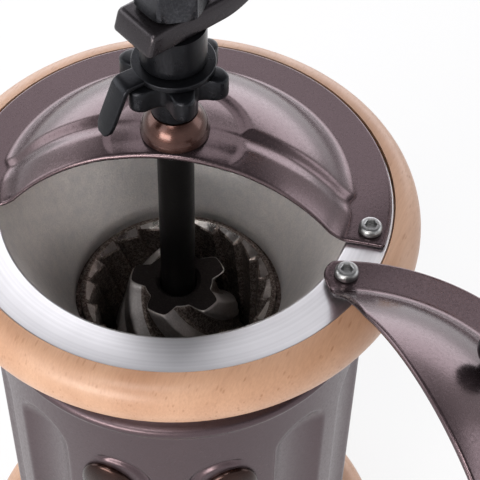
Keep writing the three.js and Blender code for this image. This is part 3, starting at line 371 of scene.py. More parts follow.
def blasted_aluminium(name):
    """Bead blasted casting: fine even pits and soft mottling."""
    light, grey, cool = (0.92, 0.88, 0.85), (0.66, 0.64, 0.63), (0.68, 0.675, 0.69)
    pit_scale, mottle_scale = 2600, 420
    material, tree = shader(name, light, 0.7, 0.55)
    at = place(tree)
    pits = noise(tree, at, pit_scale, 3, 0.65)
    mottle = noise(tree, at, mottle_scale, 3, 0.6)
    color = tint(tree, pits, 0.35, 0.7, 0, 0.6, light, grey)
    color = tint(tree, mottle, 0.4, 0.7, 0, 0.4, color, cool)
    surface(tree, color, bump(tree, pits, 0.45, 0.12, bump(tree, mottle, 0.3, 0.25)),
            remap(tree, mottle, 0.3, 0.7, 0.34, 0.44))
    return material


def turned_metal(name, base, roughness, lines=2200, strength=0.12, patchy=0.25):
    """Metal with fine turning marks round the upright axis."""
    cloud_scale = 160
    material, tree = shader(name, base, 1, roughness)
    coordinate = node(tree, "TexCoord").outputs["Object"]
    parts = node(tree, "SeparateXYZ", {"Vector": coordinate}).outputs
    squares = [math_node(tree, "POWER", parts[axis], 2.0) for axis in ("X", "Y")]
    across = math_node(tree, "SQRT", math_node(tree, "ADD", *squares))
    marks = node(tree, "TexNoise", {"W": math_node(tree, "ADD", across, parts["Z"]), "Scale": lines,
                                             "Detail": 3}, noise_dimensions="1D").outputs["Fac"]
    cloud = noise(tree, place(tree), cloud_scale, 3, 0.6)
    color = tint(tree, marks, 0.35, 0.65, 0, 0.35, base, dimmed(base, 0.75))
    color = tint(tree, cloud, 0.4, 0.7, 0, patchy, color, dimmed(base, 0.82))
    surface(tree, color, bump(tree, marks, strength, 0.03),
            remap(tree, cloud, 0.3, 0.7, roughness - patchy * 0.2, roughness + patchy * 0.3))
    return material


def dark_metal(name, base, light, roughness, metallic=0.9, scratch=0.5, grain=1800):
    """Dark iron or black oxide with scratches, stains and fine grain."""
    stain_scale, line_scale, line_turn = 170, (500, 6500, 900), (0.3, 0.5, 0.9)
    material, tree = shader(name, base, metallic, roughness)
    at = place(tree)
    fine = noise(tree, at, grain, 4, 0.7)
    stain = noise(tree, at, stain_scale, 3, 0.6)
    lines = noise(tree, place(tree, line_scale, line_turn), 1, 3, 0.6)
    color = tint(tree, fine, 0.45, 0.75, 0, scratch, base, light)
    color = tint(tree, lines, 0.58, 0.75, 0, scratch, color, light)
    color = tint(tree, stain, 0.4, 0.7, 0, 0.45, color, dimmed(base, 0.6))
    surface(tree, color, bump(tree, lines, 0.15 * scratch, 0.05, bump(tree, fine, 0.3, 0.08)),
            remap(tree, stain, 0.3, 0.7, roughness - 0.08, roughness + 0.12))
    return material


def rubber_matt(name):
    dark, light, grain_scale = (0.018, 0.018, 0.02), (0.04, 0.04, 0.043), 1400
    material, tree = shader(name, dark, 0, 0.75)
    grain = noise(tree, place(tree), grain_scale, 4, 0.7)
    color = tint(tree, grain, 0.35, 0.7, 0, 1, dark, light)
    surface(tree, color, bump(tree, grain, 0.4, 0.15))
    return material


beech = beech_wood("beech", 68)
brown_paint = metallic_paint("brown_paint", (0.092, 0.062, 0.067), (0.22, 0.172, 0.19), 0.23)
# The body's wall takes a darker, rougher copy of the brown paint: painted shade for the darker look of its
# sides.
shaded_body_paint = metallic_paint("shaded_body_paint", (0.075, 0.05, 0.056), (0.18, 0.14, 0.157), 0.33)
crank_paint = metallic_paint("crank_paint", (0.03, 0.026, 0.029), (0.09, 0.08, 0.087), 0.3)
bronze_gloss = gloss_lacquer("bronze_gloss", (0.05, 0.02, 0.015), (0.085, 0.04, 0.032), 0.3)
# The ovals take a much darker copy of the bronze lacquer with less coat: painted shade for their dark look on
# the wall.
shaded_oval_gloss = gloss_lacquer("shaded_oval_gloss", (0.022, 0.009, 0.007), (0.04, 0.018, 0.014), 0.15)
aluminium = blasted_aluminium("cast_aluminium")
flange_metal = turned_metal("turned_aluminium", (0.88, 0.87, 0.89), 0.3, 1600, 0.05, 0.08)
burr_iron = dark_metal("burr_iron", (0.13, 0.1, 0.088), (0.78, 0.69, 0.62), 0.38, scratch=0.85)
burr_edge = dark_metal("burr_edge", (0.6, 0.56, 0.53), (0.93, 0.9, 0.87), 0.3, 1, 0.8, 2600)
burr_face = dark_metal("burr_face", (0.6, 0.57, 0.56), (0.9, 0.88, 0.87), 0.36, 1, 0.7, 2200)
burr_top = dark_metal("burr_top", (0.05, 0.042, 0.041), (0.13, 0.115, 0.11), 0.45, 0.9, 0.4, 2200)
black_steel = dark_metal("black_steel", (0.01, 0.0105, 0.013), (0.035, 0.037, 0.046), 0.3, 0.75, 0.3)
shaft_black = dark_metal("shaft_black", (0.007, 0.0065, 0.0065), (0.025, 0.023, 0.023), 0.36, 0.7, 0.3)
screw_black = dark_metal("screw_black", (0.3, 0.3, 0.3), (0.65, 0.65, 0.65), 0.27, 0.95, 0.5)
nut_black = dark_metal("nut_black", (0.03, 0.031, 0.036), (0.12, 0.12, 0.13), 0.3, 0.85, 0.4)
zinc = turned_metal("zinc_plate", (0.5, 0.5, 0.49), 0.34, 1500)
tin = turned_metal("tin_sheet", (0.58, 0.58, 0.59), 0.36, 700, 0.05)
bearing = turned_metal("bearing_bronze", (0.5, 0.29, 0.13), 0.4, 1500)
rubber = rubber_matt("foot_rubber")

slot_materials = {
    "beech": beech, "brown_paint": brown_paint, "bronze_gloss": bronze_gloss, "cast_aluminium": aluminium,
    "burr_steel": burr_iron, "black_steel": black_steel, "zinc": zinc, "tin_sheet": tin,
    "bearing_bronze": bearing, "foot_rubber": rubber,
}
for row in frame["record"]["subparts"]:
    mesh = nodes[row["node"]].data
    mesh.materials.clear()
    mesh.materials.append(slot_materials[row["material_slot"]])


# Foot pad, base and ring

def bullnose(radius, reach, bottom, top):
    half = (top - bottom) / 2
    return arc(20, -QUARTER, QUARTER, reach, half, radius - reach, bottom + half)


base_nose, ring_nose = 7, 6.2
pad_radius, pad_top = half_width("foot_pad"), high("foot_pad")
piece(turned("pad_rubber", [(0, 0), (pad_radius, 0, 0.5), (pad_radius, pad_top, 0.3), (0, pad_top)],
             rubber), "housing", "foot_rubber", "foot_pad")

base_low, base_top = low_high("wood_base")
base_edge = bullnose(half_width("wood_base"), base_nose, base_low, base_top)
piece(turned("base_turned", [(0, base_low), *base_edge, (0, base_top)], beech, 192),
      "housing", "beech", "wood_base")

ring_low, ring_top = low_high("wood_ring")
ring_seat, ring_step, ring_step_radius, ring_step_top_radius = 35.5, 1.5, 45.6, 47.2
rebate, rebate_radius, rebate_gap = rim - flange_thick - clear, 48.2, 0.6
ring_edge = bullnose(half_width("wood_ring"), ring_nose, ring_low + ring_step, ring_top)
piece(turned("ring_turned", [
    (ring_seat, ring_low, 0.4), (ring_step_radius, ring_low, 0.5),
    (ring_step_top_radius, ring_low + ring_step, 0.5), *ring_edge,
    (rebate_radius, ring_top, 0.35), (rebate_radius, rebate),
    (mouth_radius + hopper_wall + rebate_gap, rebate)], beech, 192), "housing", "beech", "wood_ring")


# Body shell: flutes, beads and arched grooves pressed into a round wall

shell_low, shell_top = low_high("body_shell")
shell_radius = 44.3
shell_neck, neck_start, neck_end = 2.2, 1.0, 2.6
bead_depth, bead_half, bead_drop = 0.9, 2.2, 13.6
foot_bead_start, foot_bead_end = shell_low + 1.3, shell_low + 3.2
lip_radius, lip_thick = 36.5, 1.6
wall_inside, foot_inside = 41.2, 40.3
flute_pitch, flute_count = rad(27.6), 11
flute_depth, flute_ball, flute_blend = 2.6, 15.33, 0.35
flute_reach = sqrt(flute_ball ** 2 - (flute_ball - flute_depth) ** 2)
flute_drop, flute_foot_rise = 23.1, 12
flute_top = shell_top - flute_drop - flute_reach
flute_foot = shell_low + flute_foot_rise + flute_reach
flute_far = shell_radius - flute_depth + flute_ball
flute_widest = 0.3
no_flute = 1e3
brow_radius, brow_half, brow_depth, brow_span, brow_fade = 7.9, 1.4, 0.85, rad(130), 0.5
brow_drop, brow_far = 28.0, 12
brow_level = shell_top - brow_drop - brow_radius
brows = ((rad(253.1), rad(-8)), (rad(286.5), rad(58)))
door_half = 23.6
doorway_top = high("drawer_front") + 0.6


def flute_surface(angle, level):
    """Distance of a flute's floor from the axis, or a large number beside the flutes."""
    first = QUARTER - flute_pitch * (flute_count - 1) / 2
    index = min(flute_count - 1, max(0, round((angle - first) / flute_pitch)))
    apart = angle - first - index * flute_pitch
    beyond = max(level - flute_top, flute_foot - level, 0)
    if abs(apart) > flute_widest or beyond >= flute_ball:
        return no_flute
    inside = flute_ball ** 2 - beyond ** 2 - (flute_far * sin(apart)) ** 2
    return flute_far * cos(apart) - sqrt(inside) if inside > 0 else no_flute


def brow_dip(angle, level):
    """Depth of the arched grooves over the two ovals."""
    depth = 0
    for centre, lean in brows:
        across = (angle - centre) * shell_radius
        up = level - brow_level
        if abs(across) > brow_far or abs(up) > brow_far:
            continue
        way = (atan2(up, across) - lean + QUARTER) % TURN - QUARTER
        away = abs(hypot(across, up) - brow_radius)
        if 0 < way < brow_span and away < brow_half:
            fade = smooth_step(0, brow_fade, min(way, brow_span - way))
            depth = max(depth, brow_depth * fade * (1 - smooth_step(brow_half * 0.2, brow_half, away)))
    return depth


def shell_at(angle, level):
    bead = level - (shell_top - bead_drop)
    radius = shell_radius + bead_depth * (1 - smooth_step(0, bead_half, abs(bead)))
    radius -= shell_neck * smooth_step(neck_start, neck_end, bead)
    radius += bead_depth * (1 - smooth_step(foot_bead_start, foot_bead_end, level))
    radius -= brow_dip(angle, level)
    return smooth_min(radius, flute_surface(angle, level), flute_blend)


def spaced(bounds_and_steps):
    values = []
    for start, end, step in bounds_and_steps:
        count = max(1, round(abs(end - start) / step))
        values += [mix(start, end, k / count) for k in range(count)]
    return values


def body_shell():
    side = asin(door_half / shell_radius)
    front, near, coarse, fine = rad(270), rad(30), rad(0.6), rad(0.3)
    angles = spaced([(front + near - TURN, front - near, coarse), (front - near, front, fine),
                     (front, front + near, fine)])
    edges = [front - side, front + side]
    for edge in edges:
        nearest = min(range(len(angles)), key=lambda i: abs(angles[i] - edge))
        angles[nearest] = edge
    levels = spaced([(shell_low, 36, 0.6), (36, doorway_top, 3), (doorway_top, 108, 3), (108, 117, 0.7),
                     (117, 132, 0.25), (132, 148, 0.35), (148, shell_top, 1.5)]) + [shell_top]
    lip_low = shell_top - lip_thick
    inner = [(lip_radius, shell_top), (lip_radius, lip_low), (wall_inside, lip_low),
             (wall_inside, doorway_top), (foot_inside, shell_low)]
    count = len(angles)
    rows = [[(*polar(shell_at(a, z), a), z) for a in angles] for z in levels]
    rows += [[(*polar(r, a), z) for a in angles] for r, z in inner]
    points = [p for row in rows for p in row]
    inside = [edges[0] - tiny < a < edges[1] + tiny for a in angles]
    door_row = min(range(len(levels)), key=lambda j: abs(levels[j] - doorway_top))
    inner_door_row = len(levels) + 3
    last_row = len(levels) + 4
    faces = []

    def quad(j, k, i):
        after = (i + 1) % count
        return (j * count + i, j * count + after, k * count + after, k * count + i)

    for i in range(count):
        open_here = inside[i] and inside[(i + 1) % count]
        for j in range(last_row):
            if not (open_here and (j < door_row or j >= inner_door_row)):
                faces.append(quad(j, j + 1, i))
        faces.append(quad(door_row, inner_door_row, i) if open_here else quad(0, last_row, i))
    ends = [i for i in range(count) if inside[i]]
    for i, sign in ((ends[0], -1), (ends[-1], 1)):
        for row in (inner_door_row, last_row):
            reach, level = inner[row - len(levels)]
            points[row * count + i] = (sign * door_half, -sqrt(reach ** 2 - door_half ** 2), level)
        outer = [j * count + i for j in range(door_row + 1)]
        faces.append((*outer, inner_door_row * count + i, last_row * count + i))
    return solid("shell_pressed", points, faces, shaded_body_paint, sharp=32)


piece(body_shell(), "housing", "brown_paint", "body_shell")

oval_drop, oval_half_width, oval_half_height = 40.3, 7.0, 9.6
oval_rise, oval_edge, oval_sunk, oval_rings = 2, 0.3, 0.4, 12
oval_level = shell_top - oval_drop
for name, centre, lean in (("left", rad(252.1), rad(14)), ("right", rad(287), rad(-14))):
    rows = []
    for k in range(oval_rings + 1):
        share = sin(QUARTER * k / oval_rings)
        proud = oval_edge + oval_rise * sqrt(max(0, 1 - share ** 2)) ** 0.9
        row = []
        for a, b, _ in circle(share, 0, 64):
            a, b = a * oval_half_width, b * oval_half_height
            across, up = a * cos(lean) - b * sin(lean), a * sin(lean) + b * cos(lean)
            row.append((*polar(shell_radius + proud, centre + across / shell_radius), oval_level + up))
        rows.append(row)
    rows.append([(*polar(shell_radius - oval_sunk, atan2(y, x)), z) for x, y, z in rows[-1]])
    piece(solid(f"oval_{name}_gloss", *loft(rows), shaded_oval_gloss), "housing", "bronze_gloss",
          f"oval_boss_{name}")


# Hopper

def hopper():
    cone_depth, cone_foot_radius, neck_depth = 31, 25, 4.6
    neck_bore, neck_radius, neck_flange = 24.4, 33.4, 2.6
    foot_fillet, foot_drop, machined = 18, 1.2, 0.25
    neck_low = rim - cone_depth - neck_depth
    cone_low = neck_low + neck_flange
    slope = (mouth_radius - cone_foot_radius) / cone_depth
    outside = mouth_radius + hopper_wall * sqrt(1 + slope ** 2)
    flange_radius, flange_low = half_width("hopper_bowl"), rim - flange_thick
    profile = rounded([
        (neck_bore, neck_low), (neck_radius, neck_low, 0.4), (neck_radius, cone_low, 0.4),
        (outside - (rim - cone_low) * slope, cone_low, 1.5),
        (outside - flange_thick * slope, flange_low, 0.6),
        (flange_radius, flange_low, 0.3), (flange_radius, rim, 0.35),
        (mouth_radius, rim, 0.9), (neck_bore, rim - cone_depth - foot_drop, foot_fillet)], steps=7)
    points, faces = loft(circles(profile, 192), closed=True)
    flat = [int(sum(points[i][2] for i in face) / 4 > rim - machined) for face in faces]
    return solid("hopper_cast", points, faces, aluminium, flange_metal, face_materials=flat)


piece(hopper(), "housing", "cast_aluminium", "hopper_bowl")


# Ring burr: slanted saw teeth under bright lands

burr_foot_bore = 17.9
burr_tooth_depth, burr_tooth_foot_depth = 2.2, 0.55


def ring_burr():
    teeth, per_tooth, rim_width = 20, 16, 1.6
    slant, phase = rad(-20), rad(12.4)
    land_drop, land_share, first_share = 1.25, 0.75, 0.055
    bottom, top = low_high("ring_burr")
    outside = half_width("ring_burr")
    count = teeth * per_tooth
    root_top = outside - rim_width

    def saw(i):
        way = (i / per_tooth - 0.02) % 1
        return smooth_step(0, 0.12, way) * (1 - way) ** 0.85

    plain = [(outside, bottom), (outside, top - 0.3), (outside - 0.3, top), (root_top + 0.6, top),
             (root_top + 0.35, top - 0.2)]
    rows = circles(plain, count, turn=phase)
    rows.append(polar_row(count, lambda i: root_top - burr_tooth_depth * land_share * saw(i),
                          lambda i: top - land_drop * (0.4 + 0.6 * saw(i)), phase))
    steps = 26
    for j in range(steps + 1):
        share = mix(first_share, 1, j / steps)
        root = mix(root_top, burr_foot_bore, share)
        bite = mix(burr_tooth_depth, burr_tooth_foot_depth, share)
        rows.append(polar_row(count, lambda i: root - bite * saw(i), lambda i: mix(top, bottom, share),
                              slant * share + phase))
    points, faces = loft(rows, closed=True)
    land_row = len(plain) - 1
    lands = [int(k // count == land_row and saw(k % count) > 0.25) for k in range(len(faces))]
    return solid("ring_burr_cut", points, faces, burr_iron, burr_edge, sharp=24, face_materials=lands)


piece(ring_burr(), "housing", "burr_steel", "ring_burr")


# Cone burr: five spiral flutes over fine teeth

def cone_burr():
    flutes, flute_cut, twist, lobe = 5, 3.2, rad(115), rad(28)
    lobe_end, flute_floor, lobe_face, flute_fade, flute_grows = 0.13, 0.37, 0.3, 0.12, 0.4
    fine_teeth, per_tooth, fine_depth, fine_until, fine_fades = 25, 12, 0.8, 0.62, 0.3
    top_radius, foot_gap, swell = 11.3, 0.5, 1.25
    edge_drop, edge_share = 0.25, 0.975
    bottom, top = low_high("cone_burr")
    count = fine_teeth * per_tooth
    per_flute = count / flutes
    foot_tip = burr_foot_bore - burr_tooth_foot_depth - foot_gap

    def from_lobe(i):
        way = (i % per_flute) / per_flute
        return min(way, 1 - way)

    def tooth_at(i):
        way = (i % per_tooth) / per_tooth
        return 1 - abs(2 * way - 1) ** 0.8

    rows = []
    steps = 44
    for j in range(steps + 1):
        share = j / steps
        tip = mix(foot_tip, top_radius, share ** swell)
        bite = flute_cut * min(1, max(0, (share - flute_fade) / flute_grows))
        fine = fine_depth * min(1, max(0, (fine_until - share) / fine_fades))

        def radius_at(i):
            cut = bite * smooth_step(lobe_end, flute_floor, from_lobe(i))
            return tip - cut - fine * tooth_at(i)

        rows.append(polar_row(count, radius_at, lambda i: mix(bottom, top, share),
                              lobe + twist * (1 - share)))
    edge = rows[-1]
    rows[-1] = [(x, y, z - edge_drop) for x, y, z in edge]
    rows.append([(x * edge_share, y * edge_share, top) for x, y, z in edge])
    rows += circles(((bore + 1.1, top), (bore + 0.15, top - 0.8), (bore, bottom)), count, turn=lobe)
    points, faces = loft(rows, closed=True)
    iron, face, bright, dark = range(4)
    kinds = []
    for index in range(len(faces)):
        row, i = divmod(index, count)
        ground = steps * 0.3 < row < steps and from_lobe(i) < lobe_face
        kinds.append(bright if row == steps else dark if row > steps else face if ground else iron)
    return solid("cone_burr_cut", points, faces, burr_iron, burr_face, burr_edge, burr_top, sharp=28,
                 face_materials=kinds)


piece(cone_burr(), "crank", "burr_steel", "cone_burr")


# Pressed sheet of the cover and the door

cover_turn = rad(-5.6)
cover_radius = 47.3
cover_top = rim + clear + sheet_thick
dome_rise, dome_foot_radius, dome_blend = 20.7, 38.1, 3.0
dome_radius = (dome_foot_radius ** 2 + dome_rise ** 2) / (2 * dome_rise)
dome_centre = cover_top + dome_rise - dome_radius
edge_reach, edge_bow = 10.5, 2.6
curl_reach, curl_least, rim_row, row_step = 0.8, 0.5, 0.9, 0.45
pad_radius_in_dome, pad_depth = 15, 1.3
band_line, band_depth, valley_depth = 2.6, 0.8, 0.5
door_gap, door_lift, door_inset, door_open = 1, 0.9, 0.06, rad(122)
door_ear, door_shoulder = 4.2, 20
door_pivot_radius, door_pivot = 43.3, rad(-26.6)


def dome_level(radius, lowered, flat_level):
    inside = (dome_radius - lowered) ** 2 - radius ** 2
    dome = dome_centre + sqrt(inside) if inside > 0 else dome_centre
    return smooth_max(flat_level, dome, dome_blend)


def pressed_sheet(name, radii, span_at, height_at, line, normal, lift=0, closed_below=False):
    """Sheet over polar rows: top and underside, a round rim, and a curled edge along its straight side."""
    columns, steps, rim_steps = 200, 8, 6
    points, faces = [], []

    def add_row(radius, level_of, extra=0.0):
        first, last = span_at(radius)
        start = len(points)
        for i in range(columns + 1):
            x, y = polar(radius + extra, mix(first, last, i / columns))
            points.append((x, y, level_of(x, y)))
        return start

    def strip(a, b):
        faces.extend((a + i, a + i + 1, b + i + 1, b + i) for i in range(columns))

    def top_of(x, y):
        return height_at(x, y, 0)

    def low_of(x, y):
        return height_at(x, y, sheet_thick)

    top_rows = [add_row(r, top_of) for r in radii]
    low_rows = [add_row(r, low_of) for r in radii]
    rim_rows = []
    for out, up in arc(rim_steps, QUARTER, -QUARTER, sheet_thick / 2, sheet_thick / 2)[1:-1]:
        rim_rows.append(add_row(radii[-1], lambda x, y: (top_of(x, y) + low_of(x, y)) / 2 + up, out))
    around = [*top_rows, *rim_rows, *reversed(low_rows)]
    for a, b in zip(around, around[1:]):
        strip(a, b)
    if closed_below:
        strip(around[-1], around[0])
    for side in (0, columns):
        previous = None
        for j, radius in enumerate(radii):
            if radius < line - tiny:
                continue
            top, under = points[top_rows[j] + side], points[low_rows[j] + side]
            nx, ny = normal(radius, side)
            size = mix(curl_least, curl_reach, smooth_step(0.5, 3, top[2] - cover_top - lift))
            drop = top[2] - under[2]
            curled = [top_rows[j] + side]
            for k in range(1, steps):
                angle = pi * k / steps
                out, fall = size * sin(angle), 1 - cos(angle)
                join = smooth_step(0.7, 1.0, k / steps)
                points.append((top[0] + nx * out, top[1] + ny * out,
                               mix(top[2] - size * fall, top[2] - drop * fall / 2, join)))
                curled.append(len(points) - 1)
            curled.append(low_rows[j] + side)
            if previous:
                for a in range(steps):
                    faces.append((previous[a], previous[a + 1], curled[a + 1], curled[a]))
            previous = curled
        faces.append((*previous, *[row + side for row in reversed(rim_rows)]))
    return solid(name, points, faces, brown_paint, sharp=50)


def cover_height(x, y, under):
    """Level of the cover's sheet: flange, dome, and the lowered band and pad."""
    radius = hypot(x, y)
    beyond = y - band_line
    inside_band = 1 - smooth_step(-1.2, 1.6, beyond)
    band = band_depth * inside_band
    valley = valley_depth * smooth_step(-5.0, -1.4, beyond) * inside_band
    deep = mix(band_depth, pad_depth, smooth_step(-8, -3.5, y))
    pad = deep * (1 - smooth_step(-1.5, 1.7, radius - pad_radius_in_dome))
    return dome_level(radius, smooth_max(band + valley, pad, 0.5) + under, cover_top - under)


def front_line(radius):
    """Distance of the cover's hollowed front edge before the axis, where it meets a circle."""
    line = edge_reach - edge_bow
    for _ in range(12):
        across = max(0, radius ** 2 - line ** 2) / cover_radius ** 2
        line = edge_reach - edge_bow * (1 - across)
    return line - curl_reach


def cover():
    line = edge_reach - edge_bow - curl_reach
    hub_hole = bore + hub_wall + clear
    outer = cover_radius - sheet_thick / 2
    edge_step, first_row, rows_across = 0.7, 8.2, 85
    radii = sorted({*[mix(hub_hole, line, k / 3) for k in range(3)],
                    *[hypot(line, edge_step * k) for k in range(6)],
                    *[first_row + row_step * k for k in range(rows_across)],
                    cover_radius - rim_row, outer})
    radii = [r for r in radii if r <= outer]

    def span_at(radius):
        dip = asin(min(1, front_line(radius) / radius))
        return -dip, pi + dip

    return pressed_sheet("cover_pressed", radii, span_at, cover_height, line, lambda radius, side: (0, -1),
                         closed_below=True)


def door_height(x, y, under):
    return dome_level(hypot(x, y), under, cover_top - under) + door_lift


def door():
    line = edge_reach + door_gap + curl_reach
    px, py = polar(door_pivot_radius, door_pivot)
    rise = -line - py
    touch = atan2(rise, -door_shoulder) - acos(door_ear / hypot(door_shoulder, rise))
    start = Vector((px - door_shoulder, -line))
    end = Vector((px, py)) + Vector(polar(door_ear, touch))
    ear_way = end - start
    edge_step = 0.6
    radii = [hypot(line, edge_step * k) for k in range(12)]
    radii += [radii[-1] + row_step * k for k in range(1, 90)]
    reach = cover_radius - door_inset
    radii = [r for r in radii if r < reach - 1.2] + [reach - rim_row, reach - sheet_thick / 2]

    def right_end(radius):
        if radius <= start.length:
            return -asin(min(1, line / radius))
        if radius <= end.length:
            half = start.dot(ear_way) / ear_way.dot(ear_way)
            share = -half + sqrt(half ** 2 - (start.dot(start) - radius ** 2) / ear_way.dot(ear_way))
            at = start + ear_way * share
            return atan2(at.y, at.x)
        along = (radius ** 2 - door_ear ** 2 + door_pivot_radius ** 2) / (2 * door_pivot_radius)
        return door_pivot + acos(min(1, along / radius))

    def span_at(radius):
        return -pi + asin(min(1, line / radius)), right_end(radius)

    def normal(radius, side):
        if side == 0 or radius <= start.length:
            return 0, 1
        if radius <= end.length:
            way = ear_way.normalized()
            return -way.y, way.x
        x, y = polar(radius, right_end(radius))
        return (x - px) / door_ear, (y - py) / door_ear

    return pressed_sheet("door_pressed", radii, span_at, door_height, line, normal, door_lift)


turned_cover = Matrix.Rotation(cover_turn, 4, "Z")
pivot = Matrix.Translation((*polar(door_pivot_radius * MM, door_pivot), 0))
swung_door = turned_cover @ pivot @ Matrix.Rotation(door_open, 4, "Z") @ pivot.inverted()
piece(tilted(cover(), turned_cover), "housing", "brown_paint", "hopper_cover")
piece(tilted(door(), swung_door), "door", "brown_paint", "hopper_door")


# Screws that show: button heads with a hexagon socket

def hexagon(width_half, i, sides):
    angle = (TURN * i / sides) % (pi / 3) - pi / 6
    return width_half / cos(angle)


def button_screw(name, x, y, top):
    sides, head, height, socket, socket_depth, crown = 48, 2.6, 1.7, 1.15, 1.1, 1.65
    stem, stem_length, brim = 1.4, 8.5, 0.45
    face = top - height
    profile = [(stem, face - stem_length), (stem, face), (head - 0.1, face), (head, face + 0.1),
               (head, face + brim)]
    profile += arc(8, 0, QUARTER, head - crown, height - brim, crown, face + brim)[1:]
    rows = circles(profile, sides, x, y)
    for inset, level in ((0.12, top), (0, top - 0.12), (0, top - socket_depth)):
        row = polar_row(sides, lambda i: hexagon(socket, i, sides) + inset, lambda i: level)
        rows.append([(x + dx, y + dy, z) for dx, dy, z in row])
    return solid(name, *loft(rows), screw_black, sharp=30)


for node_name in ("cover_screw_right", "cover_screw_left", "door_pivot_screw"):
    at = middle(node_name)
    screw = button_screw(node_name + "_head", at.x, at.y, high(node_name))
    piece(screw, "housing", "black_steel", node_name)


# Hub, star nut, stopper plate and cap nut

def hub():
    ball, flat, foot = 7.4, 4.9, 5.8
    bottom, top = low_high("hub_bush")
    seat = top - sqrt(ball ** 2 - flat ** 2)
    dome = arc(16, 0, acos(flat / ball), ball, ball, 0, seat)
    return turned("hub_dome", [(bore, bottom), (foot, bottom, 0.2), (foot, seat), *dome, (flat - 0.4, top)],
                  bronze_gloss, 96)


piece(hub(), "housing", "bronze_gloss", "hub_bush")
ring_under, ring_over = low_high("bush_ring")
bush_hole, bush_ring_radius = bore + hub_wall, 6.6
piece(turned("bush_ring_turned", [(bush_hole, ring_under, 0.2), (bush_ring_radius, ring_under, 0.4),
                                  (bush_ring_radius, ring_over, 0.2), (bush_hole, ring_over)],
             zinc, 96), "housing", "zinc", "bush_ring")


def star_nut():
    outer, notch, lobes, count, lobe_turn = 11.5, 4.2, 6, 144, rad(-15)
    sleeve, sleeve_height = 4.9, 6.8
    bottom, top = low_high("adjusting_nut")
    star_low = bottom + sleeve_height

    def outline(inset, level):
        def radius_at(i):
            wave = cos(TURN * i / count * lobes)
            return outer - notch / 2 * (1 - copysign(abs(wave) ** 0.75, wave)) - inset
        return polar_row(count, radius_at, lambda i: level, lobe_turn)

    rows = circles((
        (bore, bottom), (sleeve - 0.3, bottom), (sleeve, bottom + 0.3), (sleeve, star_low - 0.5),
        (sleeve + 0.5, star_low)), count, turn=lobe_turn)
    edge = ((1.0, 0), (0.35, 0.2), (0.08, 0.5), (0, 1.0))
    rows += [outline(inset, star_low + rise) for inset, rise in edge]
    rows += [outline(inset, top - drop) for inset, drop in reversed(edge)]
    rows.append(circle(bore, top, count, turn=lobe_turn))
    return solid("star_nut_milled", *loft(rows, closed=True), black_steel, sharp=40)


piece(star_nut(), "adjuster", "black_steel", "adjusting_nut")


def stopper():
    """Round plate with a tab bent down at its edge."""
    hole, plate, plate_thick, start = 4.3, 8.6, 1.4, 7
    tab_half, tab_thick_half, reach, spread = 2.5, 0.6, 12.1, 4.2
    bend, bend_inset, bend_angle = 1.9, 1.2, rad(67)
    bottom, top = low_high("stopper_plate")
    plate_low, level = top - plate_thick, top - plate_thick / 2
    round_plate = turned("stopper_round", [
        (hole, plate_low), (plate, plate_low, 0.3), (plate, top, 0.3), (hole, top)], black_steel, 96)
    path = [(start, level)]
    path += arc(8, QUARTER, QUARTER - bend_angle, bend, bend, reach - bend_inset, level - bend)
    path += [(mix(path[-1][0], reach + spread + tab_thick_half, k / 8), mix(path[-1][1], bottom, k / 8))
             for k in range(1, 9)]
    rows = []
    for k, (x, z) in enumerate(path):
        ahead = path[min(k + 1, len(path) - 1)]
        behind = path[max(k - 1, 0)]
        way = Vector((ahead[0] - behind[0], ahead[1] - behind[1])).normalized()
        width = tab_half * sqrt(max(0.12, 1 - max(0, (k - len(path) + 4) / 3.3) ** 3))
        section = rounded([(s * width, t * tab_thick_half, 0.3) for s, t in square], steps=3)
        rows.append([(x - way.y * t, s, z + way.x * t) for s, t in section])
    tab = solid("stopper_tab", *loft(rows), black_steel, sharp=50)
    turn = Matrix.Rotation(rad(-145), 4, "Z")
    return tilted(round_plate, turn), tilted(tab, turn)


plate, tab = stopper()
piece(plate, "crank", "black_steel", "stopper_plate")
piece(tab, "crank", "black_steel")


def cap_nut():
    corner, count, turn = 7.6, 144, rad(12.5)
    corner_cut, crown_start, crown_reach, crown_height = 0.12, 0.5, 5.7, 3.4
    bottom, top = low_high("cap_nut")
    flat = corner * cos(pi / 6)

    def outline(limit, level):
        def radius_at(i):
            return min(smooth_min(hexagon(flat, i, count), limit, 0.4), corner - corner_cut)
        return polar_row(count, radius_at, lambda i: level, turn)

    rows = [outline(6.3, bottom), outline(7.0, bottom + 0.2), outline(9, bottom + 0.7)]
    rows += [outline(limit, level) for limit, level in arc(
        14, 0, QUARTER, crown_reach, crown_height, corner + crown_start - crown_reach, top - crown_height)]
    return solid("cap_nut_milled", *loft(rows), nut_black, sharp=32)


piece(cap_nut(), "crank", "black_steel", "cap_nut")
shaft_low, shaft_high = low_high("shaft")
piece(turned("shaft_bar", [(0, shaft_low), (shaft_radius, shaft_low, 0.4), (shaft_radius, shaft_high, 0.4),
                           (0, shaft_high)], shaft_black, 64), "crank", "black_steel", "shaft")


# Crank arm: a bent flat bar on a round boss

crank_turn = rad(41)
crank_length, crank_half, crank_boss = 110, 5.8, 9.2
arm_low, arm_high = low_high("crank_arm")


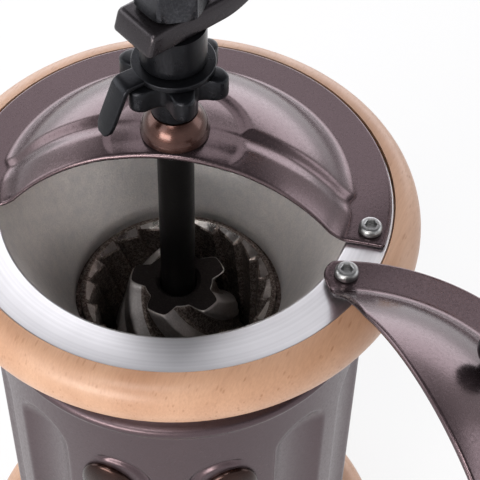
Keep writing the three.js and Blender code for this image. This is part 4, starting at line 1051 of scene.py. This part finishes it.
def crank_arm():
    thick, tail, tail_round, tail_lean, slope = 5.2, 10.5, 0.9, 1.6, rad(32)
    near, far, start = 12, 14, 8
    under_round, over_round, most_of_half = 0.6, 1.3, 0.6
    half = thick / 2
    mid = arm_low + crank_boss + half
    upper = arm_high - half
    end = start + (upper - mid) / tan(slope) + (near + far) * tan(slope / 2)
    path = [(inset - tail, mid, 0, inset - tail_round) for inset in (0, 0.12, 0.4, tail_round)]
    path += [(mix(tail_round - tail, start, k / 8), mid, 0, 0) for k in range(1, 9)]
    path += [(start + near * sin(a), mid + near * (1 - cos(a)), a, 0)
             for a in (slope * k / 10 for k in range(1, 11))]
    path += [(end - far * sin(a), upper - far * (1 - cos(a)), a, 0)
             for a in (slope * (1 - k / 10) for k in range(11))]
    path += [(mix(end, crank_length, k / 8), upper, 0, 0) for k in range(1, 9)]
    path += [(crank_length + crank_half * sin(QUARTER * k / 14), upper, 0, 0) for k in range(1, 15)]
    rows = []
    for x, z, angle, inset in path:
        width = crank_half
        if x > crank_length:
            width = max(0.9, sqrt(max(0, crank_half ** 2 - (x - crank_length) ** 2)))
        draw = tail_round - sqrt(max(0, tail_round ** 2 - inset ** 2))
        lean = tail_lean * (1 - smooth_step(-tail, start, x))
        wide, tall = width - draw, half - draw
        under, over = min(under_round, wide * most_of_half), min(over_round, wide * most_of_half)
        section = rounded([(s * wide, t * tall, over if t > 0 else under) for s, t in square])
        rows.append([(x - sin(angle) * t + lean * (t + half) / thick, s, z + cos(angle) * t)
                     for s, t in section])
    bar = solid("crank_bar", *loft(rows), crank_paint, sharp=50)
    return tilted(bar, Matrix.Rotation(crank_turn, 4, "Z"))


piece(crank_arm(), "crank", "brown_paint", "crank_arm")
boss_radius, boss_top = 6.8, arm_low + crank_boss - 0.05
piece(turned("crank_boss", [
    (bore, arm_low), (boss_radius, arm_low, 0.5), (boss_radius, boss_top), (bore, boss_top)],
    black_steel, 96), "crank", "brown_paint")

knob_x, knob_y = polar(crank_length, crank_turn)
knob_low, knob_top = low_high("crank_knob")
knob_bore, knob_foot, knob_belly, knob_ball, foot_height = 2.8, 7.5, 12.95, 8, 0.8
widest = mix(knob_low, knob_top, 0.62)
knob_profile = [(knob_bore, knob_low), (knob_foot - 0.4, knob_low, 0.5), (knob_foot, knob_low + foot_height)]
knob_profile += [(mix(knob_foot, knob_belly, (1 - cos(pi * k / 16)) / 2),
                  mix(knob_low + foot_height, widest, k / 16)) for k in range(1, 17)]
knob_profile += arc(14, 0, QUARTER, knob_ball, knob_top - widest, knob_belly - knob_ball, widest)[1:]
knob_profile.append((knob_bore, knob_top))
piece(turned("knob_turned", knob_profile, beech, 96, knob_x, knob_y), "knob", "beech", "crank_knob")

pin_low, pin_top = low_high("knob_pin")
pin_radius, pin_head, pin_foot, head_thick = 2.5, 4.6, 3.4, 1.6
piece(turned("pin_riveted", [
    (0, pin_low), (pin_foot, pin_low, 0.6), (pin_head, pin_low + 1.2, 0.4),
    (pin_head, pin_low + head_thick), (pin_radius, pin_low + head_thick),
    (pin_radius, pin_top - head_thick), (pin_head, pin_top - head_thick, 0.2),
    (pin_head - 0.3, pin_top - 0.5, 0.6), (pin_radius, pin_top, 0.4), (0, pin_top)],
    zinc, 64, knob_x, knob_y), "crank", "zinc", "knob_pin")


# Door knob

def door_knob():
    neck, ball, stem, reach = 2.0, 4.0, 1.4, 30
    bottom, top = low_high("door_knob")
    base = dome_level(reach - neck, 0, cover_top) + clear + door_lift
    globe = arc(18, rad(-60), QUARTER, ball, ball, 0, top - ball)[:-1]
    return turned("door_knob_turned", [
        (0, bottom), (stem, bottom, 0.3), (stem, base), (neck + 0.6, base, 0.3), (neck, base + 0.9, 0.4),
        *globe, (0, top)], black_steel, 64, 0, -reach)


piece(tilted(door_knob(), swung_door), "door", "black_steel", "door_knob")


# Drawer

def drawer_front():
    half, thick, proud, strips = 23, 2.6, 0.6, 48
    bottom, top = low_high("drawer_front")
    outside = shell_radius + proud
    rows = []
    for k in range(strips + 1):
        x = mix(-half, half, k / strips)
        front, back = -sqrt(outside ** 2 - x ** 2), -sqrt((outside - thick) ** 2 - x ** 2)
        section = rounded([(front, bottom, 0.5), (back, bottom, 0.2), (back, top, 0.2),
                           (front, top, 0.5)], steps=3)
        rows.append([(x, y, z) for y, z in section])
    return soft_edges(solid("drawer_front_pressed", *loft(rows), brown_paint))


piece(drawer_front(), "drawer", "brown_paint", "drawer_front")


def drawer_knob():
    radius, flatness, stem, foot, neck = 7, 0.75, 1.4, 4.55, 3.5
    first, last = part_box("drawer_knob")
    base = -(shell_radius + 0.9)
    length, stem_end = base - first.y / MM, base - last.y / MM
    half = radius * flatness
    globe = arc(18, rad(-50), QUARTER, radius, half, 0, length - half)[:-1]
    made = turned("drawer_knob_turned", [
        (0, stem_end), (stem, stem_end, 0.3), (stem, 0), (foot, 0, 0.5), (neck, 1.75, 0.8),
        *globe, (0, length)], beech, 80)
    return tilted(made, Matrix.Translation((0, base * MM, middle("drawer_knob").z * MM))
                  @ Matrix.Rotation(QUARTER, 4, "X"))


piece(drawer_knob(), "drawer", "beech", "drawer_knob")
soft_edges(nodes["drawer_box"])


# Spring under the lower bush

def spring():
    wire, curls, per_curl, sides, gap = 0.45, 2.5, 36, 12, 0.95
    bottom, top = low_high("shaft_spring")
    steps = int(curls * per_curl)
    shares = [k / steps for k in range(steps + 1)]
    points = [Vector((*polar(shaft_radius + gap, TURN * curls * s), mix(bottom + wire, top - wire, s)))
              for s in shares]
    rows = []
    for k, here in enumerate(points):
        way = (points[min(k + 1, steps)] - points[max(k - 1, 0)]).normalized()
        side = Vector((here.x, here.y, 0)).normalized()
        up = way.cross(side)
        rows.append([tuple(here + side * s + up * t) for s, t, _ in circle(wire, 0, sides)])
    return solid("spring_wound", *loft(rows), zinc, sharp=60)


piece(spring(), "crank", "tin_sheet", "shaft_spring")


# Floor and world: pale round the mill, white behind it, and a dark ceiling in what metal mirrors

def stage_material(name, white_share):
    near, far = 0.25, 0.8
    material, tree = shader(name, (0.86, 0.86, 0.87), 0, 0.7)
    path = node(tree, "LightPath").outputs
    mirrored = math_node(tree, "MULTIPLY", path["Is Glossy Ray"], 0.6)
    seen = math_node(tree, "MAXIMUM", math_node(tree, "MAXIMUM", path["Is Camera Ray"], mirrored),
                     path["Is Transmission Ray"])
    white = node(tree, "Emission", {"Color": (1, 1, 1, 1), "Strength": 1})
    coordinate = node(tree, "TexCoord").outputs["Object"]
    away = node(tree, "VectorMath", {0: coordinate}, operation="LENGTH").outputs["Value"]
    share = remap(tree, away, near, far, white_share, 1)
    mixed = node(tree, "MixShader", {
        0: math_node(tree, "MULTIPLY", seen, share), 1: tree.nodes["Principled BSDF"].outputs[0],
        2: white.outputs[0]})
    tree.links.new(mixed.outputs[0], tree.nodes["Material Output"].inputs["Surface"])
    return material


floor_half, floor_drop = 4, 0.0002
floor_mesh = bpy.data.meshes.new("floor")
floor_mesh.from_pydata([(floor_half * x, floor_half * y, 0) for x, y in square], [], [(0, 1, 2, 3)])
floor = link("floor", floor_mesh, stage_material("floor_white", 0.8))
floor.location.z = -floor_drop

studio.world = bpy.data.worlds.new("studio")
studio.world.use_nodes = True
tree = studio.world.node_tree
background = tree.nodes["Background"]
path = node(tree, "LightPath").outputs
shown = math_node(tree, "MAXIMUM", path["Is Camera Ray"], path["Is Transmission Ray"])
direction = node(tree, "TexCoord").outputs["Generated"]
height = node(tree, "SeparateXYZ", {"Vector": direction}).outputs["Z"]
white, ceiling, plain_light = (1, 1, 1), (0.16, 0.16, 0.17), (0.42, 0.42, 0.435)
cove_start, cove_end = 0.42, 0.72
cove = tint(tree, height, cove_start, cove_end, 0, 1, white, ceiling)
light = blend_colors(tree, path["Is Glossy Ray"], plain_light, cove)
tree.links.new(blend_colors(tree, shown, light, white), background.inputs["Color"])
background.inputs["Strength"].default_value = 1


# Lamps: name, place and level aimed at in metres, size, watts, colour

lamps = (
    ("back_wall", (0, 1.4, 0.4), 0.15, (2.8, 0.8), 17, (0.97, 0.95, 1)),
    ("back_high", (0.1, 1.1, 1.4), 0.17, (1.6, 0.7), 4.6, (0.98, 0.97, 1)),
    ("window_left", (-1.25, 0.3, 0.6), 0.17, (0.8, 0.7), 4.5, (0.96, 0.98, 1)),
    ("window_right", (1.25, 0.2, 0.55), 0.17, (0.6, 0.7), 2.6, (0.93, 0.96, 1)),
    ("front_left", (-0.85, -0.75, 0.9), 0.15, (0.7, 0.6), 2.5, (0.95, 0.97, 1)),
    ("front_low", (-0.6, -1.1, 0.45), 0.17, (0.75, 0.4), 12, (1, 0.95, 0.9)),
    ("front_high", (-0.25, -0.75, 1.25), 0.17, (0.4, 0.3), 4.5, (1, 0.97, 0.95)),
)
for name, place_at, aim_level, size, watts, color in lamps:
    data = bpy.data.lights.new(name, "AREA")
    data.shape = "RECTANGLE"
    data.size, data.size_y = size
    data.energy = watts
    data.color = color
    lamp = link(name, data)
    lamp.visible_camera = False
    lamp.location = place_at
    lamp.rotation_euler = (Vector((0, 0, aim_level)) - Vector(place_at)).to_track_quat("-Z", "Y").to_euler()


# Camera, solved from circles seen in the picture

camera_data = bpy.data.cameras.new("camera")
camera_data.sensor_width = 36
camera_data.lens = 112.5
camera_data.clip_start = 0.01
camera = link("camera", camera_data)
pitch, roll = rad(49.9), rad(1.585)
camera_x, camera_y, camera_above_rim = 0.014235, -0.219796, 0.245966
camera.matrix_world = (Matrix.Translation((camera_x, camera_y, rim * MM + camera_above_rim))
                       @ Matrix.Rotation(QUARTER - pitch, 4, "X") @ Matrix.Rotation(roll, 4, "Z"))
studio.camera = camera
studio.view_settings.view_transform = "Standard"
